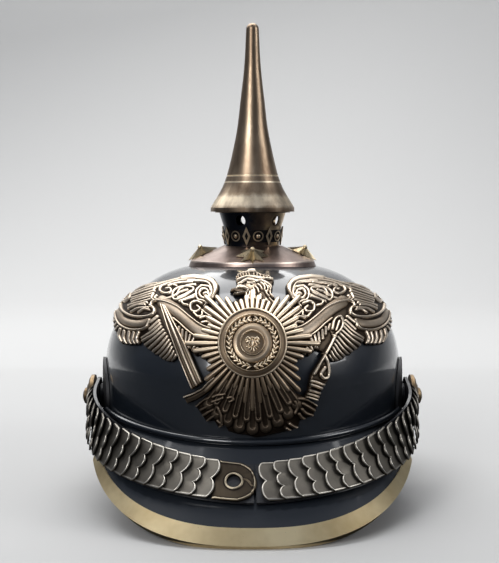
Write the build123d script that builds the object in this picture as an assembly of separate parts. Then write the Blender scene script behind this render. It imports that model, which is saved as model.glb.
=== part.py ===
from build123d import *
import os
from math import atan2, copysign, cos, degrees, hypot, pi, radians, sin, sqrt

os.makedirs("parts", exist_ok=True)

# A spiked dress helmet. It stands on the tips of its two visors, Z points up along the spike,
# and the front looks along -Y. All lengths are in millimetres.

# Skull of the helmet, a leather dome that is oval in plan
shell_half_width = 97.0
shell_half_length = 117.0
shell_wall = 2.4
widest_height = 76.0
crown_height = 146.0
crown_over_shoulder = 4.0
side_edge_height = 36.0
end_edge_height = 44.0
edge_curve_share = 3.0
crown_hole_radius = 10.0

# Visors
visor_wall = 2.5
visor_half_width = 101.5
visor_reach = 158.0
visor_tip_height = 2.0
guard_tip_height = 0.7
visor_edge_slope_share = 0.313
visor_join_height = 47.0
visor_join_rise = 6.0
visor_end_degrees = 76.0
visor_plan_power_share = 2.5
visor_steps = 18
seat_gap = 0.15
lining_wall = 0.8
lining_start_share = 0.06
front_lining_share = 0.85
rear_lining_share = 0.92

# Brass strip on the front visor's edge
trim_wall = 0.9
trim_top_width = 9.5
trim_under_width = 5.0
trim_fit = 0.15
welt_radius = 1.7
welt_lift_share = 0.8

# Spine down the back
spine_width = 14.0
spine_wall = 1.2
spine_stud_radius = 2.6
spine_stud_height = 1.4
spine_stud_shank = 1.1
spine_stud_count = 3
spine_stud_low_share = 0.05
spine_stud_step_share = 0.3

# Spike
spike_height = 126.2
spike_foot_radius = 28.0
spike_tip_radius = 4.3
spike_lip_height = 2.6
spike_wall = 2.0
spike_line_depth = 0.35
spike_line_gap = 4.2
spike_line_rise = 23.8
spike_line_share = 0.618
spike_line_step_share = 0.075
spike_profile_shares = [
    (0.84, 0.080), (0.725, 0.126), (0.618, 0.189), (0.465, 0.327),
    (0.354, 0.459), (0.300, 0.565), (0.200, 0.766), (0.163, 0.915),
]
spike_hollow_wide_share = 0.7
spike_hollow_knee_share = 0.8
spike_hollow_top_share = 1.5
thread_radius = 19.0
thread_wall = 1.8
thread_height = 8.0
thread_taper_share = 0.48
thread_clearance = 0.3
washer_thickness = 0.5
washer_radius = 25.0

# Neck below the spike
neck_foot_rise = 8.9
neck_height = 22.7
neck_foot_radius = 17.7
neck_waist_rise = 13.1
neck_waist_radius = 19.4
neck_top_radius = 22.1
neck_wall = 1.2
neck_ledge_share = 1.2
neck_ledge_reach_share = 1.5
vent_radius = 3.5
vent_rise = 17.0
vent_count = 5
vent_first_degrees = -23.0

# Ornamental band round the neck
band_height = 8.0
band_foot_rise = 2.7
band_wall = 0.7
band_relief = 0.7
band_figure_pairs = 8
band_first_degrees = -11.5
lozenge_height = 12.4
lozenge_width = 5.2
lozenge_eye_share = 0.45
ringlet_radius = 3.5
ringlet_hole_radius = 2.7
ringlet_bead_radius = 1.7

# Round base plate on the crown
base_radius = 43.6
base_shoulder = 41.0
base_shoulder_drop = 0.6
base_skirt_drop = 8.0
base_skirt_width = 2.4
base_wall = 1.3
base_seat_radius = 19.5
base_bore_radius = 14.0

# Four star studs that hold the base plate
star_stud_ring = 33.0
star_stud_radius = 10.5
star_stud_core_share = 0.42
star_stud_knob_share = 0.16
star_stud_rise = 5.0
star_stud_points = 8
star_stud_shank = 1.6
star_stud_count = 4
star_stud_clearance = 0.15

# Nuts and fixing posts
nut_radius = 4.2
nut_height = 2.6
post_radius = 1.5
post_clearance = 0.1
post_reach = 6.6
cleft = 0.3

# Eagle plate, star and medallion on the front
plate_gap = 0.3
plate_wall = 1.5
wing_span = 100.0
wing_height = 60.0
wing_turn_degrees = 46.0
wing_tilt_degrees = 25.0
head_tilt_degrees = 45.0
head_width = 30.0
feather_bulge = 2.2
wing_top_shares = [
    (0.520, 0.130), (0.345, 0.200), (0.340, 0.390), (0.236, 0.540), (0.043, 0.563),
    (-0.113, 0.467), (-0.250, 0.400), (-0.390, 0.218), (-0.460, 0.000),
]
wing_feather_shares = [
    (-0.460, 0.000), (-0.430, -0.150), (-0.360, -0.230), (-0.281, -0.283), (-0.199, -0.343),
    (-0.102, -0.347), (-0.010, -0.340), (0.077, -0.357), (0.160, -0.385), (0.251, -0.430),
    (0.320, -0.370), (0.380, -0.280), (0.450, -0.290), (0.560, -0.150),
]
head_shares = [
    (-0.28, -1.30), (-0.28, -0.74), (-0.33, -0.47), (-0.46, -0.33), (-0.42, -0.24),
    (-0.33, -0.01), (-0.35, 0.18), (-0.20, 0.37), (0.00, 0.43), (0.20, 0.38),
    (0.44, 0.20), (0.41, -0.15), (0.51, -0.77), (0.42, -1.30),
]
tail_height = 36.0
tail_middle_height = 72.5
tail_shares = [
    (1.00, 0.55), (0.92, 0.14), (0.76, -0.08), (0.58, -0.33), (0.33, -0.49), (0.11, -0.54),
    (-0.11, -0.54), (-0.33, -0.49), (-0.58, -0.33), (-0.76, -0.08), (-0.92, 0.14), (-1.00, 0.55),
]
tail_half_width = 31.0
sword_length = 51.0
sword_width = 6.4
sword_lean_degrees = 27.0
sword_guard_length = 20.0
sword_guard_width = 4.2
sceptre_length = 66.0
sceptre_width = 5.0
sceptre_lean_degrees = 27.5
sceptre_head_width = 13.0
sceptre_orb_width = 8.5
sceptre_head_share = 0.5
sceptre_orb_share = 0.88
claw_radius = 6.5
claw_offset = 29.0
claw_height = 66.0
star_height_share = 27 / 70
star_radius = 38.5
star_valley_radius = 29.0
star_points = 8
star_rays_per_point = 6
star_ray_notch = 3.0
star_wall = 1.5
medallion_radius = 19.5
medallion_wall = 1.5
medallion_ring_width = 3.8
medallion_boss_radius = 10.8
medallion_eye_radius = 6.0
medallion_relief = 1.1
plate_post_offset = 50.0
plate_post_height_share = 4 / 7

# Chinscales, their pivot posts and rosettes
pivot_height = 58.0
pivot_forward = 20.0
pivot_radius = 3.0
pivot_clearance = 0.08
pivot_nut_radius = 6.0
pivot_nut_height = 3.2
pivot_nut_face = 91.8
cockade_radius = 25.0
cockade_gap = 0.3
cockade_wall = 1.6
cockade_boss_radius = 8.0
strap_width = 24.0
strap_wall = 1.8
strap_inner = 98.8
strap_straight = 14.0
strap_stand_off = 1.665333
strap_front_height = 28.4
strap_start_height = 55.4
strap_plan_power_share = 2.2
strap_curve_power_share = 0.68
strap_lean_more_degrees = 3.467531
strap_lean_power_share = 1.4
strap_gap = 2.0
strap_steps = 12
strap_walk_degrees = 0.25
strap_look_degrees = 0.5
strap_measures = 60
end_plate_wall = 1.2
end_plate_radius = 8.6
rosette_radius = 13.5
rosette_height = 7.6
rosette_rim_height = 2.2
rosette_rim_shares = [(1.0, 1.0), (0.86, 1.5), (0.80, 1.3)]
rosette_dome_shares = [(0.55, 0.62), (0.42, 0.56), (0.36, 0.86), (0.18, 1.0)]
rosette_bore_share = 2.0
side_post_end_share = 0.9
scale_pitch = 8.4
scale_length = 12.0
scale_lobe = 3.2
scale_wall = 0.7
scale_rise = 2.0
scale_lift = 0.5
scale_start = 9.4
tongue_length = 19.0
tongue_wall = 1.0
tongue_round = 9.6
tongue_tip = 2.2
tongue_strip_share = 1.5
tongue_hole_radius = 4.0
tongue_hole_back = 12.6
tongue_lift = 0.25

# Leather inside the helmet
band_leather_wall = 1.6
band_stand_off = 6.2
band_leather_height = 38.0
band_leather_foot = 39.0
liner_wall = 1.4
liner_foot = 62.0
liner_slot_foot = 84.0
liner_top_drop = 20.0
liner_slot_width = 7.0
liner_fingers = 10
liner_first_share = 0.5

overrun = 60.0


def save(shape, node):
    """Write one named piece."""
    export_step(shape, f"parts/{node}.step")


# The skull is drawn round, from two tangent arcs, and stretched along Y into its oval. What
# follows its surface is drawn round in the same way, cut while it is round and then stretched.
stretch_share = shell_half_length / shell_half_width
dome_rise = crown_height - widest_height
shoulder_radius = dome_rise - crown_over_shoulder
crown_radius = (shell_half_width**2 - 2 * shell_half_width * shoulder_radius + dome_rise**2) / (
    2 * (dome_rise - shoulder_radius))
shoulder_centre = Vector(shell_half_width - shoulder_radius, widest_height)
crown_centre = Vector(0, crown_height - crown_radius)

# Heights of what stands on the crown, of the plate on the front and of the liner under the crown
base_shoulder_height = crown_height - base_shoulder_drop
base_skirt_foot_height = crown_height - base_skirt_drop
neck_foot_height = crown_height + neck_foot_rise
neck_waist_height = neck_foot_height + neck_waist_rise
vent_height = neck_foot_height + vent_rise
band_foot_height = neck_foot_height + band_foot_rise
spike_foot_height = neck_foot_height + neck_height
spike_tip_height = spike_foot_height + spike_height
spike_line_height = spike_foot_height + spike_line_rise
star_height = widest_height + dome_rise * star_height_share
plate_post_height = widest_height + dome_rise * plate_post_height_share
liner_top = crown_height - liner_top_drop

# The strap lies over the front visor, so it reaches and leans as the visor's slope asks
visor_run = visor_reach - shell_half_length - seat_gap
visor_fall = visor_join_height - visor_tip_height
visor_reach_at_strap = visor_reach - visor_run * (strap_front_height - visor_tip_height) / visor_fall
strap_reach = visor_reach_at_strap + strap_stand_off - pivot_forward - strap_straight
strap_lean_degrees = degrees(atan2(visor_run, visor_fall)) + strap_lean_more_degrees


def skull_arcs(grow):
    """Places on the skull's round outline, grown outwards: side, two arcs' middles and ends, top."""
    join_way = (shoulder_centre - crown_centre).normalized()
    join = shoulder_centre + join_way * (shoulder_radius + grow)
    shoulder_middle = shoulder_centre + (Vector(1, 0) + join_way).normalized() * (shoulder_radius + grow)
    crown_middle = crown_centre + (Vector(0, 1) + join_way).normalized() * (crown_radius + grow)
    side = Vector(shell_half_width + grow, widest_height)
    top = Vector(0, crown_height + grow)
    return side, shoulder_middle, join, crown_middle, top


def layer(low, high):
    """A round skin that follows the skull, between two distances from its surface."""
    outer = skull_arcs(high)
    inner = skull_arcs(low)
    outer_foot = Vector(outer[0].X, -overrun)
    inner_foot = Vector(inner[0].X, -overrun)
    edges = [
        Line(outer_foot, outer[0]), ThreePointArc(*outer[:3]), ThreePointArc(*outer[2:]),
        Line(outer[4], inner[4]), ThreePointArc(*inner[4:1:-1]), ThreePointArc(*inner[2::-1]),
        Line(inner[0], inner_foot), Line(inner_foot, outer_foot),
    ]
    return revolve(Plane.XZ * make_face(Curve(edges)), Axis.Z)


def stretched(shape):
    """The oval form of a round shape."""
    return scale(shape, (1, stretch_share, 1))


def arc_at(height, grow):
    """The round outline's arc at a height: the distance of its centre from the axis, and its height."""
    join = skull_arcs(grow)[2]
    return (0, crown_centre.Y) if height > join.Y else (shoulder_centre.X, widest_height)


def skull_reach(height, grow=0.0):
    """Half the skull's width at a height."""
    if height <= widest_height:
        return shell_half_width + grow
    off, level = arc_at(height, grow)
    radius = crown_radius if off == 0 else shoulder_radius
    return off + sqrt((radius + grow) ** 2 - (height - level) ** 2)


def crown_level(reach, grow=0.0):
    """How high the crown's arc stands at a distance from the axis, on the round outline."""
    return crown_centre.Y + sqrt((crown_radius + grow) ** 2 - reach**2)


def skin_plane(across, height):
    """A plane on the front of the skull that faces straight out of it."""
    reach = skull_reach(height)
    depth = sqrt(reach**2 - across**2)
    off, level = arc_at(height, 0)
    flat = (reach - off) / reach
    rise_out = max(height - level, 0) if height > widest_height else 0
    out = Vector(across * flat, -depth * flat / stretch_share, rise_out)
    origin = Vector(across, -depth * stretch_share, height)
    return Plane(origin=origin, x_dir=Vector(-out.Y, out.X, 0), z_dir=out)


def unstretched(plane):
    """Where a plane and the direction that it faces lie before the skull is stretched."""
    origin = Vector(plane.origin.X, plane.origin.Y / stretch_share, plane.origin.Z)
    out = Vector(plane.z_dir.X, plane.z_dir.Y / stretch_share, plane.z_dir.Z)
    return Plane(origin=origin, z_dir=out)


def oval_ring(half_width, wall, foot, height):
    """An upright oval tube with its outside at the given half width."""
    return stretched(Pos(0, 0, foot) * extrude(Circle(half_width) - Circle(half_width - wall), height))


def round_bore(radius, length):
    """A prism that the stretch turns into a round bore."""
    return extrude(Ellipse(radius, radius / stretch_share), length, both=True)


def turned(points):
    """A solid of revolution about Z from an outline of (radius, height) points."""
    return revolve(Plane.XZ * make_face(Polyline(*points, close=True)), Axis.Z)


def smooth_loft(faces):
    """One solid through a row of sections."""
    return Solid.make_loft([face.outer_wire() for face in faces])


# Visors


def visor_generator(turn_degrees, tip_height):
    """Both ends of one straight line of a visor: on the skull, and on the visor's edge."""
    turn = radians(turn_degrees)
    power = 2 / visor_plan_power_share
    side = 1 if turn >= 0 else -1
    inner = Vector(
        (shell_half_width + seat_gap) * sin(turn),
        -(shell_half_length + seat_gap) * cos(turn),
        visor_join_height + visor_join_rise * sin(turn) ** 2,
    )
    edge_x = side * visor_half_width * abs(sin(turn)) ** power
    edge_y = -visor_reach * cos(turn) ** power
    return inner, Vector(edge_x, edge_y, tip_height + visor_edge_slope_share * (edge_y + visor_reach))


def visor_section(turn_degrees, tip_height, outline):
    """A section across the visor. The outline gives (share of width, extra along, height over it)."""
    inner, edge = visor_generator(turn_degrees, tip_height)
    before = visor_generator(turn_degrees - 1, tip_height)
    after = visor_generator(turn_degrees + 1, tip_height)
    along = (edge - inner).normalized()
    round_it = ((after[0] + after[1]) - (before[0] + before[1])).normalized()
    up = along.cross(round_it).normalized()
    if up.Z < 0:
        up = up * -1
    points = []
    for share, extra, height in outline:
        points.append(inner + (edge - inner) * share + along * extra + up * height)
    return Face(Wire.make_polygon(points))


def visor_turns(left_out):
    """Directions of the visor's sections, without the outermost ones on each side."""
    turns = [visor_end_degrees * (2 * step / visor_steps - 1) for step in range(visor_steps + 1)]
    return turns[left_out:len(turns) - left_out]


def visor_piece(tip_height, outline, left_out):
    """A strip of the visor from one side to the other, with any outline as its section."""
    return smooth_loft([visor_section(turn, tip_height, outline) for turn in visor_turns(left_out)])


def outside_skull(shape):
    """Trim what would run into the skull's side."""
    skull = Ellipse(shell_half_width + seat_gap, shell_half_length + seat_gap)
    return shape - extrude(skull, visor_reach)


def above_floor(shape):
    """Cut what would reach below the surface that the helmet stands on."""
    size = 2 * visor_reach + overrun
    floor = Pos(0, 0, -size / 2) * Box(size, size, size)
    return shape - floor


def visor_leather(tip_height):
    outline = [(0, 0, 0), (1, 0, 0), (1, 0, -visor_wall), (0, 0, -visor_wall)]
    return above_floor(outside_skull(visor_piece(tip_height, outline, 0)))


def clear_of_cockades(shape):
    """Round off what would run under the cockades."""
    return shape - side_disc(cockade_radius + cleft, -2 * strap_inner, 4 * strap_inner)


def visor_lining(tip_height, end_share):
    top = -visor_wall - 2 * seat_gap
    low = top - lining_wall
    start_share = lining_start_share
    outline = [(start_share, 0, top), (end_share, 0, top), (end_share, 0, low), (start_share, 0, low)]
    return outside_skull(visor_piece(tip_height, outline, 2))


def visor_trim():
    """A folded strip that grips the front visor's edge from above, in front and below."""
    over = trim_fit + trim_wall
    under = -visor_wall - trim_fit
    outline = [
        (1, -trim_top_width, trim_fit),
        (1, -trim_top_width, over),
        (1, over, over),
        (1, over, under - trim_wall),
        (1, -trim_under_width, under - trim_wall),
        (1, -trim_under_width, under),
        (1, trim_fit, under),
        (1, trim_fit, trim_fit),
    ]
    return above_floor(visor_piece(visor_tip_height, outline, 1))


def welt_section(turn_degrees):
    """A round section of the cord-like welt over the join of a visor."""
    inner = visor_generator(turn_degrees, visor_tip_height)[0]
    before = visor_generator(turn_degrees - 1, visor_tip_height)[0]
    after = visor_generator(turn_degrees + 1, visor_tip_height)[0]
    round_it = (after - before).normalized()
    out = round_it.cross(Vector(0, 0, 1)).normalized()
    centre = inner + out * (welt_radius + seat_gap) + Vector(0, 0, welt_lift_share * welt_radius)
    plane = Plane(origin=centre, x_dir=out, z_dir=round_it)
    return (plane * Circle(welt_radius)).faces()[0]


def welt():
    return smooth_loft([welt_section(turn) for turn in visor_turns(0)])


def half_rear_welt():
    """The rear welt's right half, beside the spine."""
    side = 2 * visor_reach
    keep = Pos(spine_width / 2 + cleft + side / 2, 0, 0) * Box(side, side, side)
    return (Rot(0, 0, 180) * welt()) & keep


# Skull


def crown_cuts():
    """Forms of the holes through the crown: the air hole and those of the star studs."""
    cuts = [round_bore(crown_hole_radius, 2 * crown_height)]
    for step in range(star_stud_count):
        turn = radians(360 * step / star_stud_count)
        x = star_stud_ring * sin(turn)
        y = -star_stud_ring * cos(turn) / stretch_share
        cuts.append(Pos(x, y, 0) * round_bore(star_stud_shank + post_clearance, 2 * crown_height))
    return cuts


def plate_post_planes():
    """Where the eagle plate's two posts and the medallion's bolt pass through the skull."""
    wing = [skin_plane(side * plate_post_offset, plate_post_height) for side in (-1, 1)]
    return wing + [skin_plane(0, star_height)]


def spine_stud_planes():
    """Where the spine's studs pass through the back of the skull."""
    planes = []
    for step in range(spine_stud_count):
        share = spine_stud_low_share + spine_stud_step_share * step
        front = skin_plane(0, widest_height + dome_rise * share)
        back = Vector(0, -front.origin.Y, front.origin.Z)
        planes.append(Plane(origin=back, x_dir=(1, 0, 0), z_dir=(0, -front.z_dir.Y, front.z_dir.Z)))
    return planes


def shell():
    body = layer(-shell_wall, 0)
    side = 2 * shell_half_length
    high = end_edge_height + (end_edge_height - side_edge_height) * edge_curve_share
    curve = ThreePointArc((-side, high), (0, side_edge_height), (side, high))
    edges = [
        curve, Line((side, high), (side, -2 * overrun)),
        Line((side, -2 * overrun), (-side, -2 * overrun)), Line((-side, -2 * overrun), (-side, high)),
    ]
    body = body - extrude(Plane.YZ * make_face(Curve(edges)), side, both=True)
    for cut in crown_cuts():
        body = body - cut
    for plane in plate_post_planes():
        body = body - unstretched(plane) * Cylinder(post_radius + post_clearance, overrun / 2)
    for plane in spine_stud_planes():
        body = body - unstretched(plane) * Cylinder(spine_stud_shank + post_clearance, overrun / 2)
    for turn in (-1, 1):
        body = body - pivot_bore(turn, pivot_radius + post_clearance)
    return stretched(body)


def pivot_bore(side, radius):
    """The form of a side post's bore."""
    middle = Pos(side * shell_half_width, -pivot_forward / stretch_share, pivot_height)
    return middle * Rot(0, 90, 0) * round_bore(radius, shell_half_width / 2)


# Spike, neck and base plate


def spike():
    tall = spike_tip_height - spike_foot_height
    side = [(wide * spike_foot_radius, spike_foot_height + up * tall) for wide, up in spike_profile_shares]
    lip = spike_foot_height + spike_lip_height
    shoulder = spike_tip_height - spike_tip_radius
    flare = Spline((spike_foot_radius, lip), *side, (spike_tip_radius, shoulder))
    tip = ThreePointArc(
        (spike_tip_radius, shoulder),
        (spike_tip_radius * cos(pi / 4), shoulder + spike_tip_radius * sin(pi / 4)),
        (0, spike_tip_height),
    )
    edges = [
        Line((0, spike_foot_height), (spike_foot_radius, spike_foot_height)),
        Line((spike_foot_radius, spike_foot_height), (spike_foot_radius, lip)),
        flare, tip, Line((0, spike_tip_height), (0, spike_foot_height)),
    ]
    body = revolve(Plane.XZ * make_face(Curve(edges)), Axis.Z)
    body = body - turned(thread_ring_outline(0)) - turned(spike_hollow())
    for step in range(2):
        line_height = spike_line_height - step * spike_line_gap
        radius = spike_foot_radius * (spike_line_share + spike_line_step_share * step)
        body = body - Pos(0, 0, line_height) * Torus(radius, spike_line_depth)
    return body


def thread_ring_outline(grow):
    """The ring inside the spike's foot. It screws over the collar on the neck."""
    inner = thread_radius + thread_clearance
    foot = spike_foot_height
    outer = spike_foot_radius - spike_wall
    top = foot + thread_height
    top_outer = outer - thread_height * thread_taper_share
    return [(inner, foot), (outer, foot), (top_outer, top), (inner, top)]


def spike_hollow():
    """The air space above and inside the ring."""
    foot = spike_foot_height
    top = foot + thread_height
    inner = thread_radius + thread_clearance
    knee = (inner * spike_hollow_wide_share, top + inner * spike_hollow_knee_share)
    roof = (0, top + inner * spike_hollow_top_share)
    return [(0, foot - spike_wall), (inner, foot - spike_wall), (inner, top), knee, roof]


def neck():
    inner_foot = neck_foot_radius - neck_wall
    inner_waist = neck_waist_radius - neck_wall
    top = spike_foot_height - washer_thickness - 2 * seat_gap
    ledge = top - neck_ledge_share * neck_wall
    collar_top = spike_foot_height + thread_height
    outline = [
        (inner_foot, neck_foot_height), (neck_foot_radius, neck_foot_height),
        (neck_waist_radius, neck_waist_height), (neck_top_radius, top),
        (thread_radius, top), (thread_radius, collar_top), (thread_radius - thread_wall, collar_top),
        (thread_radius - thread_wall, ledge), (neck_top_radius - neck_ledge_reach_share * neck_wall, ledge),
        (inner_waist, neck_waist_height),
    ]
    body = turned(outline)
    for step in range(vent_count):
        turn = Rot(0, 0, vent_first_degrees + 360 * step / vent_count)
        hole = Pos(0, -neck_top_radius, vent_height) * Rot(90, 0, 0) * Cylinder(vent_radius, neck_top_radius)
        body = body - turn * hole
    return body


def band_seat(height, grow):
    """The neck's radius at a height, grown outwards."""
    slope = (neck_waist_radius - neck_foot_radius) / (neck_waist_height - neck_foot_height)
    return neck_foot_radius + slope * (height - neck_foot_height) + grow


def band_sleeve(low, top, inner, outer):
    """A sleeve that follows the neck, between two distances from it."""
    return turned([
        (band_seat(low, inner), low), (band_seat(low, outer), low),
        (band_seat(top, outer), top), (band_seat(top, inner), top),
    ])


def neck_band():
    """A thin band with lozenges and domed ringlets that stand out of it."""
    top = band_foot_height + band_height
    middle = (band_foot_height + top) / 2
    body = band_sleeve(band_foot_height, top, seat_gap, seat_gap + band_wall)
    core = seat_gap + band_wall / 2
    face = seat_gap + band_wall + band_relief
    half_height = lozenge_height / 2
    sleeve = band_sleeve(middle - lozenge_height, middle + lozenge_height, core, face)
    beyond = band_sleeve(middle - lozenge_height, middle + lozenge_height, core, neck_foot_radius)
    outer_line = [(0, -half_height), (lozenge_width / 2, 0), (0, half_height), (-lozenge_width / 2, 0)]
    eye_line = [(x * lozenge_eye_share, y * lozenge_eye_share) for x, y in outer_line]
    lozenge = make_face(Polyline(*outer_line, close=True)) - make_face(Polyline(*eye_line, close=True))
    front = Plane(origin=(0, 0, middle), x_dir=(1, 0, 0), z_dir=(0, -1, 0))
    tall_one = extrude(front * lozenge, 2 * neck_foot_radius) & sleeve
    ringlet = Circle(ringlet_radius) - Circle(ringlet_hole_radius)
    round_one = extrude(front * ringlet, 2 * neck_foot_radius) & sleeve
    bead = Pos(0, -band_seat(middle, core), middle) * Sphere(ringlet_bead_radius) & beyond
    half_step = 180 / band_figure_pairs
    for step in range(band_figure_pairs):
        turn = band_first_degrees + 2 * half_step * step
        body = body + Rot(0, 0, turn) * tall_one
        body = body + Rot(0, 0, turn + half_step) * round_one
        body = body + Rot(0, 0, turn + half_step) * bead
    return body


def base_plate():
    """A brass cone on the crown, with a sloping skirt whose foot follows the crown."""
    seat = neck_foot_height
    shoulder = base_shoulder_height
    cone = turned([
        (base_bore_radius, seat - base_wall), (base_seat_radius, seat - base_wall),
        (base_shoulder - base_skirt_width, shoulder - base_wall), (base_shoulder, shoulder),
        (base_seat_radius, seat), (base_bore_radius, seat),
    ])
    skirt = turned([
        (base_shoulder - base_skirt_width, shoulder - base_wall), (base_shoulder, shoulder),
        (base_radius, base_skirt_foot_height), (base_radius - base_skirt_width, base_skirt_foot_height),
    ])
    for step in range(star_stud_count):
        hole = Pos(0, -star_stud_ring, crown_height) * Cylinder(star_stud_shank + post_clearance, overrun)
        cone = cone - Rot(0, 0, 360 * step / star_stud_count) * hole
    return (cone + skirt) - stretched(layer(-overrun / 2, seat_gap))


def star_sketch(tip):
    """A flat star with its points at the given distance."""
    points = []
    for corner in range(2 * star_stud_points):
        reach = tip if corner % 2 == 0 else tip * star_stud_core_share
        angle = pi * corner / star_stud_points
        points.append((reach * sin(angle), -reach * cos(angle)))
    return make_face(Polyline(*points, close=True))


def star_stud(step):
    """One faceted star with its threaded shank, in the base plate and the crown."""
    seat = base_cone_height(star_stud_ring)
    lean = degrees(atan2(neck_foot_height - base_shoulder_height, base_shoulder - base_seat_radius))
    edge = 2 * seat_gap
    knob = star_stud_radius * star_stud_knob_share
    foot = star_sketch(star_stud_radius)
    tip = Pos(0, 0, star_stud_rise - edge) * star_sketch(knob)
    facets = Solid.make_loft([foot.faces()[0].outer_wire(), tip.faces()[0].outer_wire()], True)
    body = extrude(foot, edge) + Pos(0, 0, edge) * facets
    body = body + Pos(0, 0, star_stud_rise) * Sphere(knob)
    place = Pos(0, -star_stud_ring, seat + star_stud_clearance) * Rot(lean, 0, 0)
    top = seat + star_stud_clearance + edge
    low = crown_inside(step) - nut_height - 3 * cleft
    shank = Pos(0, -star_stud_ring, (top + low) / 2) * Cylinder(star_stud_shank, top - low)
    return Rot(0, 0, 360 * step / star_stud_count) * (place * body + shank)


def base_cone_height(radius):
    """How high the base plate's top stands at a distance from its middle."""
    share = (base_shoulder - radius) / (base_shoulder - base_seat_radius)
    return base_shoulder_height + (neck_foot_height - base_shoulder_height) * share


def crown_inside(step):
    """Height of the crown's inside at a star stud's nut, lower at the sides than at the ends."""
    reach = star_stud_ring + nut_radius
    return crown_level(reach if step % 2 else reach / stretch_share, -shell_wall)


def nut(radius, height, bore):
    """A six-sided nut that stands on the XY plane."""
    return extrude(RegularPolygon(radius, 6) - Circle(bore), height)


def crown_nuts():
    nuts = []
    for step in range(star_stud_count):
        top = crown_inside(step) - cleft
        piece = nut(nut_radius, nut_height, star_stud_shank + seat_gap / 2)
        placed = Pos(0, -star_stud_ring, top - nut_height) * piece
        nuts.append(Rot(0, 0, 360 * step / star_stud_count) * placed)
    return nuts


def thread_washer():
    return Pos(0, 0, spike_foot_height - washer_thickness - seat_gap) * extrude(
        Circle(washer_radius) - Circle(thread_radius + thread_clearance), washer_thickness)


# Front plate


def facing(turn_degrees, tilt_degrees):
    """A drawing plane through the middle of the round skull that looks outwards."""
    turn = radians(turn_degrees)
    tilt = radians(tilt_degrees)
    out = (sin(turn) * cos(tilt), -cos(turn) * cos(tilt), sin(tilt))
    return Plane(origin=(0, 0, widest_height), x_dir=(cos(turn), sin(turn), 0), z_dir=out)


def outwards(face, plane):
    """A prism from the middle of the skull outwards through a drawn outline."""
    return extrude(plane * face, visor_reach)


def wing_outline():
    top = [(wing_span * x, wing_height * y) for x, y in wing_top_shares]
    feathers = [(wing_span * x, wing_height * y) for x, y in wing_feather_shares]
    edges = [Spline(*top)]
    for start, end in zip(feathers, feathers[1:]):
        across = (end[1] - start[1], start[0] - end[0])
        size = hypot(*across)
        bulge = feather_bulge * size / (size + feather_bulge)
        middle = ((start[0] + end[0]) / 2 + across[0] / size * bulge,
                  (start[1] + end[1]) / 2 + across[1] / size * bulge)
        edges.append(ThreePointArc(start, middle, end))
    edges.append(Line(feathers[-1], top[0]))
    return make_face(Curve(edges))


def head_outline():
    return make_face(Polyline(*[(head_width * x, head_width * y) for x, y in head_shares], close=True))


def tail_outline():
    middle = tail_middle_height - widest_height
    points = [(tail_half_width * x, middle + tail_height * y) for x, y in tail_shares]
    edges = [Line(points[-1], points[0])]
    for start, end in zip(points, points[1:]):
        across = (start[1] - end[1], end[0] - start[0])
        size = hypot(*across)
        bulge = -feather_bulge * size / (size + 2 * feather_bulge)
        mid = ((start[0] + end[0]) / 2 + across[0] / size * bulge,
               (start[1] + end[1]) / 2 + across[1] / size * bulge)
        edges.append(ThreePointArc(start, mid, end))
    return make_face(Curve(edges))


def sword_outline():
    """Blade and crossguard, drawn upright and leaned over to the wing."""
    half = sword_width / 2
    neck_up = sword_length - sword_width
    blade = Polyline((-half, 0), (half, 0), (half, neck_up), (0, sword_length), (-half, neck_up), close=True)
    drawn = make_face(blade) + Pos(0, 0) * Rectangle(sword_guard_length, sword_guard_width)
    drawn = drawn + Pos(0, -claw_radius) * Rectangle(sword_width, 2 * claw_radius)
    foot = claw_height - widest_height + 2 * claw_radius
    return Pos(-claw_offset, foot) * Rot(0, 0, sword_lean_degrees) * drawn


def sceptre_outline():
    """A staff with a flame-shaped head and a drop at its top."""
    drawn = Pos(0, sceptre_length / 2) * Rectangle(sceptre_width, sceptre_length)
    head = Ellipse(sceptre_head_width / 2, sceptre_head_width)
    orb = Ellipse(sceptre_orb_width / 2, sceptre_orb_width)
    drawn = drawn + Pos(0, sceptre_length * sceptre_head_share) * head
    drawn = drawn + Pos(0, sceptre_length * sceptre_orb_share) * orb
    foot = claw_height - widest_height - 2 * claw_radius
    return Pos(claw_offset - claw_radius, foot) * Rot(0, 0, -sceptre_lean_degrees) * drawn


def eagle_plate():
    front = facing(0, 0)
    cutter = outwards(Pos(0, star_height - widest_height) * Circle(star_valley_radius), front)
    cutter = cutter + outwards(tail_outline(), front)
    cutter = cutter + outwards(sword_outline(), front) + outwards(sceptre_outline(), front)
    for side in (-1, 1):
        claw = Pos(side * claw_offset, claw_height - widest_height) * Circle(claw_radius)
        cutter = cutter + outwards(claw, front)
    cutter = cutter + outwards(head_outline(), facing(0, head_tilt_degrees))
    wing = outwards(wing_outline(), facing(-wing_turn_degrees, wing_tilt_degrees))
    cutter = cutter + wing + mirror(wing, Plane.YZ)
    return stretched(layer(plate_gap, plate_gap + plate_wall) & cutter)


def star_outline():
    """Eight main points with shorter rays between them, each ray notched from the next."""
    rays = star_points * star_rays_per_point
    points = []
    for ray in range(rays):
        along = (ray % star_rays_per_point) / star_rays_per_point
        fall = 1 - abs(1 - 2 * along)
        tip = star_radius - (star_radius - star_valley_radius) * fall
        for step, reach in ((0, tip), (0.5, tip - star_ray_notch)):
            angle = 2 * pi * (ray + step) / rays
            points.append((reach * sin(angle), reach * cos(angle)))
    return Pos(0, star_height - widest_height) * make_face(Polyline(*points, close=True))


def guard_star():
    low = plate_gap + plate_wall + cleft / 2
    skin = layer(low, low + star_wall)
    return stretched(skin & outwards(star_outline(), facing(0, 0)))


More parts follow.
